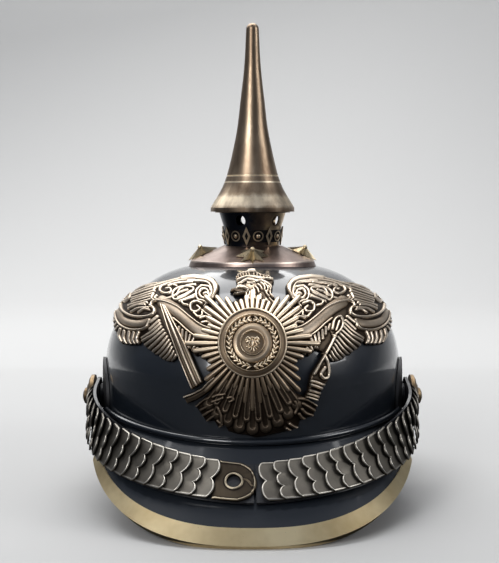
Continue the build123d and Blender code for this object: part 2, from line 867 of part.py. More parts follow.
def medallion():
    """A round boss with a raised outer ring, a sunk wreath channel and a domed centre."""
    low = plate_gap + plate_wall + star_wall + cleft
    middle = Pos(0, star_height - widest_height)
    front = facing(0, 0)
    disc = layer(low, low + medallion_wall) & outwards(middle * Circle(medallion_radius), front)
    ring = Circle(medallion_radius) - Circle(medallion_radius - medallion_ring_width)
    boss = Circle(medallion_boss_radius) - Circle(medallion_eye_radius)
    raised = outwards(middle * ring, front) + outwards(middle * boss, front)
    raised = raised + outwards(middle * Circle(medallion_eye_radius / 2), front)
    top = layer(low + medallion_wall, low + medallion_wall + medallion_relief)
    return stretched(disc + (top & raised))


def plate_posts():
    """Two posts behind the wings and one bolt behind the medallion."""
    posts = []
    for plane in plate_post_planes():
        top = plate_gap - post_clearance
        middle = Pos(0, 0, top - post_reach / 2 - shell_wall / 2)
        posts.append(plane * middle * Cylinder(post_radius, post_reach + shell_wall))
    return posts


def plate_nuts():
    nuts = []
    for plane in plate_post_planes():
        seat = -shell_wall * stretch_share - cleft
        piece = nut(nut_radius, nut_height, post_radius + seat_gap / 2)
        nuts.append(plane * Pos(0, 0, seat - nut_height) * piece)
    return nuts


# Spine at the back


def spine_arcs(grow):
    """The back's round outline from the base plate down, as two arcs and the skull's side."""
    side, shoulder_middle, join, crown_middle, top = skull_arcs(grow)
    start_reach = base_radius / stretch_share
    start = Vector(start_reach, crown_level(start_reach, grow))
    middle_reach = (start_reach + join.X) / 2
    middle = Vector(middle_reach, crown_level(middle_reach, grow))
    return start, middle, join, shoulder_middle, side


def spine():
    """A strip down the middle of the back and over the neck guard."""
    low = spine_arcs(2 * seat_gap)
    high = spine_arcs(2 * seat_gap + spine_wall)
    inner, edge = visor_generator(0, guard_tip_height)
    along = (edge - inner).normalized()
    up = Vector(0, along.Z, -along.Y)
    foot = edge - along * spine_wall

    def beside(point, lift):
        shifted = point + up * lift
        return Vector(-shifted.Y / stretch_share, shifted.Z)

    toe_low = beside(foot, 2 * seat_gap)
    toe_high = beside(foot, 2 * seat_gap + spine_wall)
    knee_low = Vector(low[4].X, inner.Z + 2 * seat_gap)
    knee_high = Vector(high[4].X, inner.Z + 2 * seat_gap + spine_wall / 2)
    edges = [
        ThreePointArc(*low[:3]), ThreePointArc(*low[2:]), Line(low[4], knee_low), Line(knee_low, toe_low),
        Line(toe_low, toe_high), Line(toe_high, knee_high), Line(knee_high, high[4]),
        ThreePointArc(*high[4:1:-1]), ThreePointArc(*high[2::-1]), Line(high[0], low[0]),
    ]
    strip = extrude(Plane.YZ * make_face(Curve(edges)), spine_width / 2, both=True)
    for plane in spine_stud_planes():
        strip = strip - unstretched(plane) * Cylinder(spine_stud_shank + post_clearance, overrun / 2)
    return stretched(strip)


def spine_studs():
    studs = []
    for plane in spine_stud_planes():
        seat = (2 * seat_gap + spine_wall) * stretch_share + seat_gap
        head = Pos(0, 0, seat) * (Sphere(spine_stud_radius) & Pos(0, 0, spine_stud_height / 2) *
                                  Box(overrun, overrun, spine_stud_height))
        shank = Pos(0, 0, (seat - post_reach) / 2) * Cylinder(spine_stud_shank, seat + post_reach)
        studs.append(plane * (head + shank))
    return studs


def spine_nuts():
    nuts = []
    for plane in spine_stud_planes():
        seat = -shell_wall * stretch_share - cleft
        piece = nut(nut_radius, nut_height, spine_stud_shank + seat_gap / 2)
        nuts.append(plane * Pos(0, 0, seat - nut_height) * piece)
    return nuts


# Chinscales


def strap_point(turn_degrees):
    """A point on the inner face of the left half, from the straight part (0) to the front (90)."""
    turn = radians(turn_degrees)
    power = 2 / strap_plan_power_share
    forward = sin(turn) ** power
    drop = strap_start_height - strap_front_height
    height = strap_front_height + drop * (1 - forward) ** strap_curve_power_share
    return Vector(
        -strap_inner * copysign(abs(cos(turn)) ** power, cos(turn)),
        -pivot_forward - strap_straight - strap_reach * forward,
        height,
    )


def strap_plane(turn_degrees):
    """X runs forward along the strap, Y up across it, Z out of it."""
    point = strap_point(turn_degrees)
    after = strap_point(turn_degrees + strap_look_degrees)
    along = after - strap_point(max(turn_degrees - strap_look_degrees, 0))
    if turn_degrees == 0:
        along.X = 0
    along = along.normalized()
    share = sin(radians(turn_degrees)) ** strap_lean_power_share
    lean = radians(strap_lean_degrees * share)
    flat = Vector(along.Y, -along.X, 0).normalized()
    out = flat * cos(lean) + Vector(0, 0, sin(lean))
    out = (out - along * out.dot(along)).normalized()
    return Plane(origin=point, x_dir=along, z_dir=out)


def strap_turn_at(length):
    """How far round the strap a length from the post reaches, in degrees."""
    walked = strap_straight
    turn = 0.0
    before = strap_point(0)
    while walked < length:
        turn += strap_walk_degrees
        here = strap_point(turn)
        walked += (here - before).length
        before = here
    return turn


def strap_place(length):
    """The strap's plane at a length from the post."""
    if length > strap_straight:
        return strap_plane(strap_turn_at(length)).location
    return strap_plane(0).location * Pos(length - strap_straight, 0, 0)


def strap_length(end_degrees):
    """The way from the post to a turn, along the strap."""
    points = [strap_point(end_degrees * step / strap_measures) for step in range(strap_measures + 1)]
    return strap_straight + sum((end - start).length for start, end in zip(points, points[1:]))


def strap_band(turns, low, high):
    """A strip along the strap through the given turns, between two heights over its inner face."""
    half = strap_width / 2
    sections = []
    for turn in turns:
        plane = strap_plane(turn)
        outline = [(0, -half, low), (0, half, low), (0, half, high), (0, -half, high)]
        sections.append(Face(Wire.make_polygon([plane.from_local_coords(corner) for corner in outline])))
    return smooth_loft(sections)


def strap_leather(end_degrees):
    """The leather of one half: a round eye at the post, a straight part and the curved strip."""
    band = strap_band([end_degrees * step / strap_steps for step in range(strap_steps + 1)], 0, strap_wall)
    straight = Pos(-strap_straight / 2, 0, strap_wall / 2) * Box(strap_straight, strap_width, strap_wall)
    eye = side_disc(strap_width / 2, strap_inner, strap_wall)
    body = band + strap_plane(0).location * straight + eye
    return body - side_disc(pivot_radius + pivot_clearance, strap_inner - overrun / 2, overrun)


def side_disc(radius, inner, thick):
    """A disc round the left side post, from a distance off the middle plane outwards."""
    return Pos(-inner - thick / 2, -pivot_forward, pivot_height) * Rot(0, 90, 0) * Cylinder(radius, thick)


def scale_plate(lobes):
    """One scale: square behind and with rounded lobes in front."""
    half = strap_width / 2
    step = strap_width / lobes
    edges = [Line((0, half), (0, -half)), Line((0, -half), (scale_length - scale_lobe, -half))]
    for lobe in range(lobes):
        low = -half + step * lobe
        edges.append(ThreePointArc((scale_length - scale_lobe, low), (scale_length, low + step / 2),
                                   (scale_length - scale_lobe, low + step)))
    edges.append(Line((scale_length - scale_lobe, half), (0, half)))
    return extrude(make_face(Curve(edges)), scale_wall)


def scales(end_length):
    """The overlapping scales of one side, each lifted at its lobes over the next one."""
    tilt = degrees(atan2(scale_rise, scale_length))
    count = int((end_length - scale_start - scale_length) / scale_pitch) + 1
    start = end_length - scale_length - scale_pitch * (count - 1)
    rows = []
    for step in range(count):
        place = strap_place(start + step * scale_pitch)
        place = place * Pos(0, 0, strap_wall + scale_lift) * Rot(0, -tilt, 0)
        rows.append(place * scale_plate(2 + step % 2))
    return rows


def end_plate():
    """The brass disc at the strap's end, over the leather and round the post."""
    inner = strap_inner + strap_wall + cleft
    return side_disc(end_plate_radius, inner, end_plate_wall) - side_disc(
        pivot_radius + pivot_clearance, inner - overrun / 2, overrun)


def rosette():
    """A domed rosette screwed on the post, with a beaded step round it."""
    inner = strap_inner + strap_wall + end_plate_wall + 2 * cleft
    rim = [(rosette_radius * wide, rosette_rim_height * up) for wide, up in rosette_rim_shares]
    dome = [(rosette_radius * wide, rosette_height * up) for wide, up in rosette_dome_shares]
    profile = [(0, 0), (rosette_radius, 0), *rim, *dome, (0, rosette_height)]
    boss = turned(profile) - Cylinder(pivot_radius + seat_gap / 2, rosette_rim_height * rosette_bore_share)
    return Pos(-inner, -pivot_forward, pivot_height) * Rot(0, -90, 0) * boss


def side_post():
    outer = strap_inner + strap_wall + end_plate_wall + 2 * cleft + rosette_rim_height * side_post_end_share
    inner = pivot_nut_face - pivot_nut_height - cleft
    return side_disc(pivot_radius, inner, outer - inner)


def side_nut():
    piece = nut(pivot_nut_radius, pivot_nut_height, pivot_radius + seat_gap / 2)
    return Pos(-pivot_nut_face, -pivot_forward, pivot_height) * Rot(0, 90, 0) * piece


def cockade():
    """A dished disc between the skull and the strap, with a flat boss round the post."""
    place = Pos(0, -pivot_forward / stretch_share, pivot_height) * Rot(0, -90, 0)
    disc = place * extrude(Ellipse(cockade_radius, cockade_radius / stretch_share), 2 * shell_half_width)
    skin = stretched(layer(cockade_gap, cockade_gap + cockade_wall) & disc)
    boss = side_disc(cockade_boss_radius, strap_inner - cleft - 2 * cockade_wall, 2 * cockade_wall)
    boss = boss - stretched(layer(-overrun / 2, cockade_gap + cockade_wall / 2))
    return skin + boss - side_disc(pivot_radius + seat_gap, strap_inner - overrun / 2, overrun)


def tongue(end_length):
    """The plate that ends the left half, bent along it, with a round hole and a rounded tip."""
    half = strap_width / 2
    root = -tongue_length / 2
    tip = tongue_length / 2
    shoulder = tip - tongue_round
    edges = [
        Line((root, half), (root, -half)), Line((root, -half), (shoulder, -half)),
        ThreePointArc((shoulder, -half), (tip, 0), (shoulder, half)), Line((shoulder, half), (root, half)),
    ]
    outline = make_face(Curve(edges)) - Pos(tip - tongue_hole_back, 0) * Circle(tongue_hole_radius)
    middle = strap_place(end_length - tongue_length / 2)
    strip = tongue_length * tongue_strip_share
    lengths = [end_length + tip - strip * step / strap_steps for step in range(strap_steps + 1)]
    low = strap_wall + tongue_lift
    plate = strap_band([strap_turn_at(length) for length in reversed(lengths)], low, low + tongue_wall)
    return plate & (middle * extrude(outline, strap_width, both=True))


# Leather inside


def sweatband():
    """An upright leather band with a flange that reaches out to the skull."""
    inner_gap = shell_wall + band_stand_off
    body = oval_ring(shell_half_width - inner_gap, band_leather_wall, band_leather_foot, band_leather_height)
    flange = oval_ring(shell_half_width - shell_wall - cleft, band_stand_off + band_leather_wall - cleft,
                       band_leather_foot, band_leather_wall)
    return body + flange


def liner():
    """Leather fingers that rise from the sweatband and lean in over the head."""
    outer = shell_wall + band_stand_off + band_leather_wall + seat_gap
    skin = layer(-outer - liner_wall, -outer)
    tall = liner_top - liner_foot
    keep = Pos(0, 0, (liner_top + liner_foot) / 2) * Box(4 * shell_half_width, 4 * shell_half_width, tall)
    body = skin & keep
    slot_tall = 2 * (liner_top - liner_slot_foot)
    for step in range(liner_fingers):
        turn = Rot(0, 0, 360 * (step + liner_first_share) / liner_fingers)
        slot = Pos(0, -shell_half_width / 2, liner_slot_foot + slot_tall / 2)
        body = body - turn * slot * Box(liner_slot_width, shell_half_width, slot_tall)
    return stretched(body)


def build():
    save(shell(), "shell")
    save(clear_of_cockades(visor_leather(visor_tip_height)), "front_visor")
    save(Rot(0, 0, 180) * visor_leather(guard_tip_height), "neck_guard")
    save(visor_trim(), "visor_trim")
    save(clear_of_cockades(visor_lining(visor_tip_height, front_lining_share)), "front_visor_lining")
    save(Rot(0, 0, 180) * visor_lining(guard_tip_height, rear_lining_share), "neck_guard_lining")
    save(clear_of_cockades(welt()), "front_welt")
    half = half_rear_welt()
    save(half, "right_rear_welt")
    save(mirror(half, Plane.YZ), "left_rear_welt")
    save(spine(), "spine")
    save(Compound(children=spine_studs()), "spine_studs")
    save(Compound(children=spine_nuts()), "spine_nuts")
    save(spike(), "spike")
    save(turned(thread_ring_outline(0)), "spike_thread_ring")
    save(thread_washer(), "spike_washer")
    save(neck(), "neck")
    save(neck_band(), "neck_band")
    save(base_plate(), "base_plate")
    save(Compound(children=[star_stud(step) for step in range(star_stud_count)]), "star_studs")
    save(Compound(children=crown_nuts()), "star_stud_nuts")
    save(eagle_plate(), "eagle_plate")
    save(guard_star(), "guard_star")
    save(medallion(), "medallion")
    save(Compound(children=plate_posts()), "plate_posts")
    save(Compound(children=plate_nuts()), "plate_nuts")
    save(sweatband(), "sweatband")
    save(liner(), "liner")
    full = strap_length(90)
    left_turn = strap_turn_at(full + tongue_tip - strap_gap)
    right_turn = strap_turn_at(full - strap_gap)
    left = {
        "strap_leather": strap_leather(left_turn),
        "chinscales": Compound(children=scales(full - tongue_length)),
    }
    right = {
        "strap_leather": strap_leather(right_turn),
        "chinscales": Compound(children=scales(full - 2 * strap_gap)),
    }
    shared = {
        "end_plate": end_plate(),
        "rosette": rosette(),
        "side_post": side_post(),
        "side_nut": side_nut(),
        "cockade": cockade(),
    }
    save(tongue(full + tongue_tip), "strap_tongue")
    for name, piece in {**left, **shared}.items():
        save(piece, f"left_{name}")
    for name, piece in {**right, **shared}.items():
        save(mirror(piece, Plane.YZ), f"right_{name}")


build()
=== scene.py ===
# %% [markdown]
# # A spiked dress helmet
# The helmet is a leather skull with stamped brass on it. The exact bodies come from the frame; this
# file gives them their finishes and models the stamped relief, which is the richest part of it.

import bpy
import math
import numpy as np
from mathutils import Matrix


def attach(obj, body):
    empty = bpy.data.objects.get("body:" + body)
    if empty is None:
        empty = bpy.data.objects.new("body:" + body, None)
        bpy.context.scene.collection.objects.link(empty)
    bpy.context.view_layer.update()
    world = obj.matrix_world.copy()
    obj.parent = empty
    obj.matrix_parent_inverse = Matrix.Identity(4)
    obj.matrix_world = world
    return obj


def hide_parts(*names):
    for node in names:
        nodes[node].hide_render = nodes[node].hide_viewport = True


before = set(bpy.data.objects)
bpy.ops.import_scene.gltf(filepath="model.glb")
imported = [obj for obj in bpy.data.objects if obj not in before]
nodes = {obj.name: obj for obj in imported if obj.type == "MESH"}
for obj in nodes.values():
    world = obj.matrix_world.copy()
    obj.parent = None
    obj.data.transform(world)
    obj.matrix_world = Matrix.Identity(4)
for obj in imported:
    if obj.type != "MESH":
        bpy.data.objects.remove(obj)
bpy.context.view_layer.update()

# %% [markdown]
# ## The skull as a formula
# The skull is round in a squeezed space: two tangent arcs turned about the upright axis, then
# stretched fore and aft. Relief could be shrunk onto the skull's mesh with a modifier, but a formula
# gives smooth directions away from it at every point, so the relief shows no facets.

# %% The skull's sizes, in millimetres
MM = 0.001
SHELL_HALF_WIDTH, SHELL_HALF_LENGTH = 97.0, 117.0
WIDEST_HEIGHT, CROWN_HEIGHT, SHOULDER_RADIUS = 76.0, 146.0, 66.0
STRETCH = SHELL_HALF_LENGTH / SHELL_HALF_WIDTH
DOME_RISE = CROWN_HEIGHT - WIDEST_HEIGHT
SHOULDER_MIDDLE = SHELL_HALF_WIDTH - SHOULDER_RADIUS
CROWN_OVER_SHOULDER = DOME_RISE - SHOULDER_RADIUS
CROWN_RADIUS = (SHOULDER_MIDDLE**2 + DOME_RISE**2 - SHOULDER_RADIUS**2) / (2 * CROWN_OVER_SHOULDER)
CROWN_MIDDLE = CROWN_HEIGHT - CROWN_RADIUS
FAR, TINY = 1e9, 1e-9
print("crown's arc:", CROWN_RADIUS, "mm about a middle at", CROWN_MIDDLE, "mm")

# %% [markdown]
# Below its widest line the skull is a straight wall, above it two arcs. The line through the middles
# of both arcs also passes their joint, so the side on which a point lies tells which arc it faces.

# %% Distance and direction from the skull


def over_crown(reach, height):
    """Which points of the squeezed space lie over the crown's arc and not over the shoulder's."""
    return SHOULDER_MIDDLE * (height - CROWN_MIDDLE) - (WIDEST_HEIGHT - CROWN_MIDDLE) * reach > 0


def skull_distance(points):
    """How far points of the squeezed space lie outside the skull."""
    reach = np.hypot(points[..., 0], points[..., 1])
    height = points[..., 2]
    shoulder = np.hypot(reach - SHOULDER_MIDDLE, height - WIDEST_HEIGHT) - SHOULDER_RADIUS
    crown = np.hypot(reach, height - CROWN_MIDDLE) - CROWN_RADIUS
    dome = np.where(over_crown(reach, height), crown, shoulder)
    return np.where(height < WIDEST_HEIGHT, reach - SHELL_HALF_WIDTH, dome)


def skull_outwards(points):
    """Unit directions away from the skull, in the squeezed space."""
    reach = np.maximum(np.hypot(points[..., 0], points[..., 1]), TINY)
    height = points[..., 2]
    below, crown = height < WIDEST_HEIGHT, over_crown(reach, height)
    along = np.where(below | crown, reach, reach - SHOULDER_MIDDLE)
    up = np.where(below, 0.0, height - np.where(crown, CROWN_MIDDLE, WIDEST_HEIGHT))
    size = np.hypot(along, up)
    along, up = along / size, up / size
    return np.stack([points[..., 0] / reach * along, points[..., 1] / reach * along, up], -1)


side_point = np.array((SHELL_HALF_WIDTH + 1.0, 0.0, WIDEST_HEIGHT))
print("one millimetre off the side:", skull_distance(side_point), skull_outwards(side_point))

# %% [markdown]
# ## The drawing sheet
# The front view is a drawing sheet. A point on it stands for a sight line from the eye, so relief
# that is drawn there lands on the curved skull just where it is seen. Each line is walked in steps
# until it comes near the skull, and the last step is halved until the place is exact.

# %% The sheet and the way onto the skull
FOCAL, SHEET_MIDDLE, SHEET_EYE_LINE = 1121.0, 252.5, 205.0
EYE = np.array((0.0, -750.0, 182.0))
STAR_U, STAR_V = 252.5, 344.0
WALK_START, WALK_STEP, WALK_STEPS, HALVINGS = 600.0, 2.0, 75, 12
NEAR_GAP = 2.5


def on_skull(u, v, lift):
    """Points of the drawing sheet laid on the skull, lift above it, in metres."""
    u, v, lift = np.broadcast_arrays(np.asarray(u, float), np.asarray(v, float), np.asarray(lift, float))
    ray = np.stack([(u - SHEET_MIDDLE) / FOCAL, np.ones(u.shape), -(v - SHEET_EYE_LINE) / FOCAL], -1)

    def place(reach):
        return (EYE + ray * reach[..., None]) / (1, STRETCH, 1)

    near = np.full(u.shape, WALK_START)
    best = np.full(u.shape, FAR)
    closest = near.copy()
    hit = np.zeros(u.shape, bool)
    for step in range(WALK_STEPS):
        reach = np.full(u.shape, WALK_START + WALK_STEP * step)
        gap = skull_distance(place(reach)) - NEAR_GAP
        nearer = (gap < best) & ~hit
        best = np.where(nearer, gap, best)
        closest = np.where(nearer, reach, closest)
        hit |= gap < 0
        near = np.where(hit, near, reach)
    low, high = near, near + WALK_STEP
    for _ in range(HALVINGS):
        middle = (low + high) / 2
        outside = skull_distance(place(middle)) > NEAR_GAP
        low, high = np.where(outside, middle, low), np.where(outside, high, middle)
    found = place(np.where(hit, high, closest))
    outwards = skull_outwards(found)
    found = found - outwards * skull_distance(found)[..., None] + outwards * lift[..., None]
    return found * (1, STRETCH, 1) * MM


def traced(points, left, top, scale):
    """Points of an enlarged drawing, brought back to the front view's sheet."""
    return np.asarray(points, float) / scale + (left, top)


print("front of the skull at the star:", on_skull(STAR_U, STAR_V, 2.0).round(4))

# %% [markdown]
# ## Finishes
# Old brass is bright where hands rub it and dark in its hollows, and each relief adds painted shade in its
# hollows and painted highlights on its ridges, so each relief carries a value per point, `tone`, and one
# shared group turns tone into colour, roughness and small dents. The helpers below keep the node trees
# short: they add a node, join sockets and make a ramp.

# %% Shader helpers
FLOAT, VECTOR = "NodeSocketFloat", "NodeSocketVector"
COAT_ROUGHNESS = 0.08


def group(name, inputs, outputs):
    """An empty node group with number and vector sockets."""
    tree = bpy.data.node_groups.new(name, "ShaderNodeTree")
    for label, kind, value in inputs:
        tree.interface.new_socket(label, in_out="INPUT", socket_type=kind).default_value = value
    for label, kind in outputs:
        tree.interface.new_socket(label, in_out="OUTPUT", socket_type=kind)
    return tree, tree.nodes.new("NodeGroupInput"), tree.nodes.new("NodeGroupOutput")


def add(tree, kind, sockets=None, **values):
    """A shader node with its settings and its input constants, by name or number."""
    node = tree.nodes.new(kind)
    for label, value in values.items():
        setattr(node, label, value)
    for label, value in (sockets or {}).items():
        node.inputs[label].default_value = value
    return node


def join(tree, *ends):
    """Links each output to the input that follows it."""
    for output, target in zip(ends[::2], ends[1::2]):
        tree.links.new(output, target)


def ramp(tree, stops):
    """A colour ramp with (place, colour) stops."""
    node = tree.nodes.new("ShaderNodeValToRGB")
    elements = node.color_ramp.elements
    while len(elements) < len(stops):
        elements.new(0.5)
    for element, (place, colour) in zip(elements, stops):
        element.position = place
        element.color = (*colour, 1.0)
    return node


def material(name, colour, metallic, roughness, coat=0.0):
    """A material whose Principled shader has these constants."""
    made = bpy.data.materials.new(name)
    made.use_nodes = True
    shader = made.node_tree.nodes["Principled BSDF"]
    shader.inputs["Base Color"].default_value = (*colour, 1.0)
    shader.inputs["Metallic"].default_value = metallic
    shader.inputs["Roughness"].default_value = roughness
    shader.inputs["Coat Weight"].default_value = coat
    shader.inputs["Coat Roughness"].default_value = COAT_ROUGHNESS
    made.diffuse_color = (*colour, 1.0)
    return made, made.node_tree, shader


# %% [markdown]
# The wear group reads the object's own coordinates. Slow noise makes patches, fast noise makes
# grain, and both together lift or lower the brightness and give a faint unevenness. One group
# serves every finish, so a change of its noise reaches all of them.

# %% Wear group
wear, wear_in, wear_out = group(
    "wear",
    [
        ("Patch Scale", FLOAT, 45.0), ("Grain Scale", FLOAT, 900.0),
        ("Dent", FLOAT, 0.1), ("Stretch Z", FLOAT, 1.0),
    ],
    [("Patch", FLOAT), ("Grain", FLOAT), ("Normal", VECTOR)],
)
place = add(wear, "ShaderNodeTexCoord")
scaled = add(wear, "ShaderNodeVectorMath", operation="MULTIPLY")
squeeze = add(wear, "ShaderNodeCombineXYZ", sockets={"X": 1.0, "Y": 1.0})
patch = add(wear, "ShaderNodeTexNoise", sockets={"Detail": 4.0, "Roughness": 0.6})
grain = add(wear, "ShaderNodeTexNoise", sockets={"Detail": 3.0})
bump = add(wear, "ShaderNodeBump", sockets={"Distance": 0.0004})
join(
    wear,
    wear_in.outputs["Stretch Z"], squeeze.inputs["Z"],
    place.outputs["Object"], scaled.inputs[0],
    squeeze.outputs[0], scaled.inputs[1],
    scaled.outputs[0], patch.inputs["Vector"],
    scaled.outputs[0], grain.inputs["Vector"],
    wear_in.outputs["Patch Scale"], patch.inputs["Scale"],
    wear_in.outputs["Grain Scale"], grain.inputs["Scale"],
    wear_in.outputs["Dent"], bump.inputs["Strength"],
    grain.outputs["Fac"], bump.inputs["Height"],
    patch.outputs["Fac"], wear_out.inputs["Patch"],
    grain.outputs["Fac"], wear_out.inputs["Grain"],
    bump.outputs["Normal"], wear_out.inputs["Normal"],
)
print("group:", wear.name, len(wear.nodes), "nodes")

# %% [markdown]
# Every finish is built from the same few steps: wear, a colour that follows a factor, a roughness
# that follows one, and now and then the place on the object. Each step is a function here, so that
# a finish below is only a few lines long and its numbers stand out.

# %% Steps that the finishes share


def worn(tree, shader, patch_scale=45.0, grain_scale=900.0, dent=0.1, stretch=1.0):
    """Adds the wear group and its normal to a material; returns the group node."""
    values = {"Patch Scale": patch_scale, "Grain Scale": grain_scale, "Dent": dent, "Stretch Z": stretch}
    node = add(tree, "ShaderNodeGroup", node_tree=wear, sockets=values)
    join(tree, node.outputs["Normal"], shader.inputs["Normal"])
    return node


def blended(tree, shader, factor, stops):
    """Gives the shader a colour that runs through the stops with a factor."""
    node = ramp(tree, stops)
    join(tree, factor, node.inputs["Fac"], node.outputs["Color"], shader.inputs["Base Color"])


def ranged(tree, value, low, high, to_low, to_high):
    """A value that goes from to_low to to_high while another goes from low to high."""
    values = {"From Min": low, "From Max": high, "To Min": to_low, "To Max": to_high}
    node = add(tree, "ShaderNodeMapRange", sockets=values)
    join(tree, value, node.inputs["Value"])
    return node.outputs["Result"]


def roughened(tree, shader, factor, low, high):
    """Gives the shader a roughness that goes from low to high with a factor of 0 to 1."""
    join(tree, ranged(tree, factor, 0.0, 1.0, low, high), shader.inputs["Roughness"])


def mixed_values(tree, first, second, share):
    """The sum of two values, the second one weighted."""
    node = add(tree, "ShaderNodeMath", operation="MULTIPLY_ADD", sockets={1: share})
    join(tree, second, node.inputs[0], first, node.inputs[2])
    return node.outputs[0]


def own_place(tree):
    """The object's own coordinates, whole and taken apart."""
    place = add(tree, "ShaderNodeTexCoord")
    apart = add(tree, "ShaderNodeSeparateXYZ")
    join(tree, place.outputs["Object"], apart.inputs[0])
    return place.outputs["Object"], apart


# %% [markdown]
# ### Leather
# The skull is patent leather: black lacquer with a blue cast over a surface that isn't quite even.
# A clear coat over a darker, rougher ground gives both at once. The inside and the lining are plain
# vegetable-tanned leather, dull and lightly pitted.

# %% Leather materials
patent, tree, shader = material("patent_leather", (0.008, 0.011, 0.016), 0.0, 0.3, coat=1.0)
node = worn(tree, shader, patch_scale=22.0, grain_scale=120.0, dent=0.06)
roughened(tree, shader, node.outputs["Patch"], 0.22, 0.42)

strap_leather, tree, shader = material("strap_leather", (0.012, 0.012, 0.014), 0.0, 0.38, coat=0.3)
worn(tree, shader, grain_scale=1400.0, dent=0.25)

lining, tree, shader = material("lining_leather", (0.25, 0.12, 0.05), 0.0, 0.62)
node = worn(tree, shader, patch_scale=30.0, grain_scale=1500.0, dent=0.3)
blended(tree, shader, node.outputs["Patch"], [(0.3, (0.17, 0.08, 0.035)), (0.7, (0.33, 0.17, 0.08))])

cockade_paint, tree, shader = material("cockade_paint", (0.02, 0.02, 0.022), 0.2, 0.5)
worn(tree, shader, dent=0.2)
print("leathers and paint:", [made.name for made in (patent, strap_leather, lining, cockade_paint)])

# %% [markdown]
# ### Brass
# The brasses are told apart by their patina: pale polished brass on the trim, brown old brass on the
# plate and a greyer one on the scales. A relief takes its colour from each point's tone, and a plain
# piece only from the patches. The steel is for the nuts inside.

# %% Brass materials
FINE_GRAIN = 1500.0


def relief_brass(name, dark, middle, bright, roughness):
    """Brass coloured by each point's tone: dark hollows, bright ridges."""
    made, tree, shader = material(name, middle, 1.0, roughness)
    node = worn(tree, shader, patch_scale=60.0, grain_scale=1600.0, dent=0.12)
    tone = add(tree, "ShaderNodeAttribute", attribute_name="tone").outputs["Fac"]
    value = mixed_values(tree, tone, node.outputs["Patch"], 0.30)
    blended(tree, shader, value, [(0.22, dark), (0.62, middle), (0.98, bright)])
    roughened(tree, shader, tone, roughness + 0.22, roughness - 0.06)
    return made


def plain_brass(name, dark, bright, roughness, patch=45.0):
    """Brass with patches between two colours."""
    made, tree, shader = material(name, bright, 1.0, roughness)
    node = worn(tree, shader, patch_scale=patch, grain_scale=FINE_GRAIN, dent=0.08)
    blended(tree, shader, node.outputs["Patch"], [(0.32, dark), (0.66, bright)])
    roughened(tree, shader, node.outputs["Grain"], roughness - 0.08, roughness + 0.14)
    return made


PLATE_TONES = (0.028, 0.019, 0.013), (0.30, 0.23, 0.165), (0.84, 0.71, 0.56)
STAR_TONES = (0.024, 0.016, 0.010), (0.33, 0.245, 0.165), (0.86, 0.72, 0.54)
SCALE_TONES = (0.030, 0.027, 0.022), (0.25, 0.228, 0.195), (0.74, 0.70, 0.62)
TONGUE_TONES = (0.030, 0.024, 0.020), (0.16, 0.125, 0.085), (0.78, 0.68, 0.50)
plate_brass = relief_brass("plate_brass", *PLATE_TONES, 0.37)
star_brass = relief_brass("star_brass", *STAR_TONES, 0.35)
scale_brass = relief_brass("scale_brass", *SCALE_TONES, 0.38)
tongue_brass = relief_brass("tongue_brass", *TONGUE_TONES, 0.36)
pale_brass = plain_brass("pale_brass", (0.58, 0.44, 0.23), (0.90, 0.75, 0.46), 0.30, patch=25.0)
stud_brass = plain_brass("stud_brass", (0.30, 0.22, 0.13), (0.80, 0.68, 0.46), 0.28, patch=60.0)
boss_brass = plain_brass("boss_brass", (0.12, 0.08, 0.045), (0.40, 0.29, 0.17), 0.38, patch=80.0)
steel = plain_brass("steel", (0.30, 0.30, 0.31), (0.55, 0.55, 0.56), 0.35)
print("materials so far:", len(bpy.data.materials))

# %% [markdown]
# ### The spike and the base plate
# The spike was turned on a lathe and rubbed up and down ever since, so its patches are drawn out along it.
# Two fine lines were cut round it above the flare; the bright bands at these lines, at the flare's foot and
# at the edge of the base plate are painted highlights.

# %% Turned brass with painted highlight bands
SPIKE_TONES = [(0.34, (0.17, 0.115, 0.075)), (0.64, (0.39, 0.295, 0.205)), (0.95, (0.92, 0.78, 0.58))]
BASE_TONES = [(0.32, (0.13, 0.09, 0.078)), (0.66, (0.37, 0.285, 0.245)), (0.95, (0.76, 0.64, 0.55))]
# Painted highlights: two thin bands at the spike's cut lines, a broad band at the flare's foot, and a thin
# band at the base plate's edge.
SPIKE_HIGHLIGHTS = [(0.2014, 0.0007, 0.5), (0.1972, 0.0007, 0.5), (0.1845, 0.0060, 0.38)]
BASE_HIGHLIGHTS = [(0.1450, 0.0007, 0.4)]
HIGHLIGHT_CORE_SHARE = 0.4


def highlit_brass(name, stops, lines, **wear_values):
    """Turned brass with painted highlight bands near some heights, each with its own reach and strength."""
    made, tree, shader = material(name, stops[1][1], 1.0, 0.34)
    node = worn(tree, shader, grain_scale=FINE_GRAIN, dent=0.06, **wear_values)
    apart = own_place(tree)[1]
    value = node.outputs["Patch"]
    for highlight_height, reach, strength in lines:
        gap = add(tree, "ShaderNodeMath", operation="SUBTRACT", sockets={1: highlight_height})
        size = add(tree, "ShaderNodeMath", operation="ABSOLUTE")
        total = add(tree, "ShaderNodeMath", operation="ADD")
        join(tree, apart.outputs["Z"], gap.inputs[0], gap.outputs[0], size.inputs[0])
        near = ranged(tree, size.outputs[0], reach * HIGHLIGHT_CORE_SHARE, reach, strength, 0.0)
        join(tree, near, total.inputs[0], value, total.inputs[1])
        value = total.outputs[0]
    blended(tree, shader, value, stops)
    roughened(tree, shader, node.outputs["Grain"], 0.26, 0.46)
    return made


spike_brass = highlit_brass("spike_brass", SPIKE_TONES, SPIKE_HIGHLIGHTS, patch_scale=120.0, stretch=0.07)
base_brass = highlit_brass("base_brass", BASE_TONES, BASE_HIGHLIGHTS, patch_scale=40.0)
print("bright lines:", len(SPIKE_HIGHLIGHTS) + len(BASE_HIGHLIGHTS))

# %% [markdown]
# ### The neck
# The neck under the spike has been handled least: it has gone blue-black, with brass showing
# through on one side, so its colour also follows the place across the object.

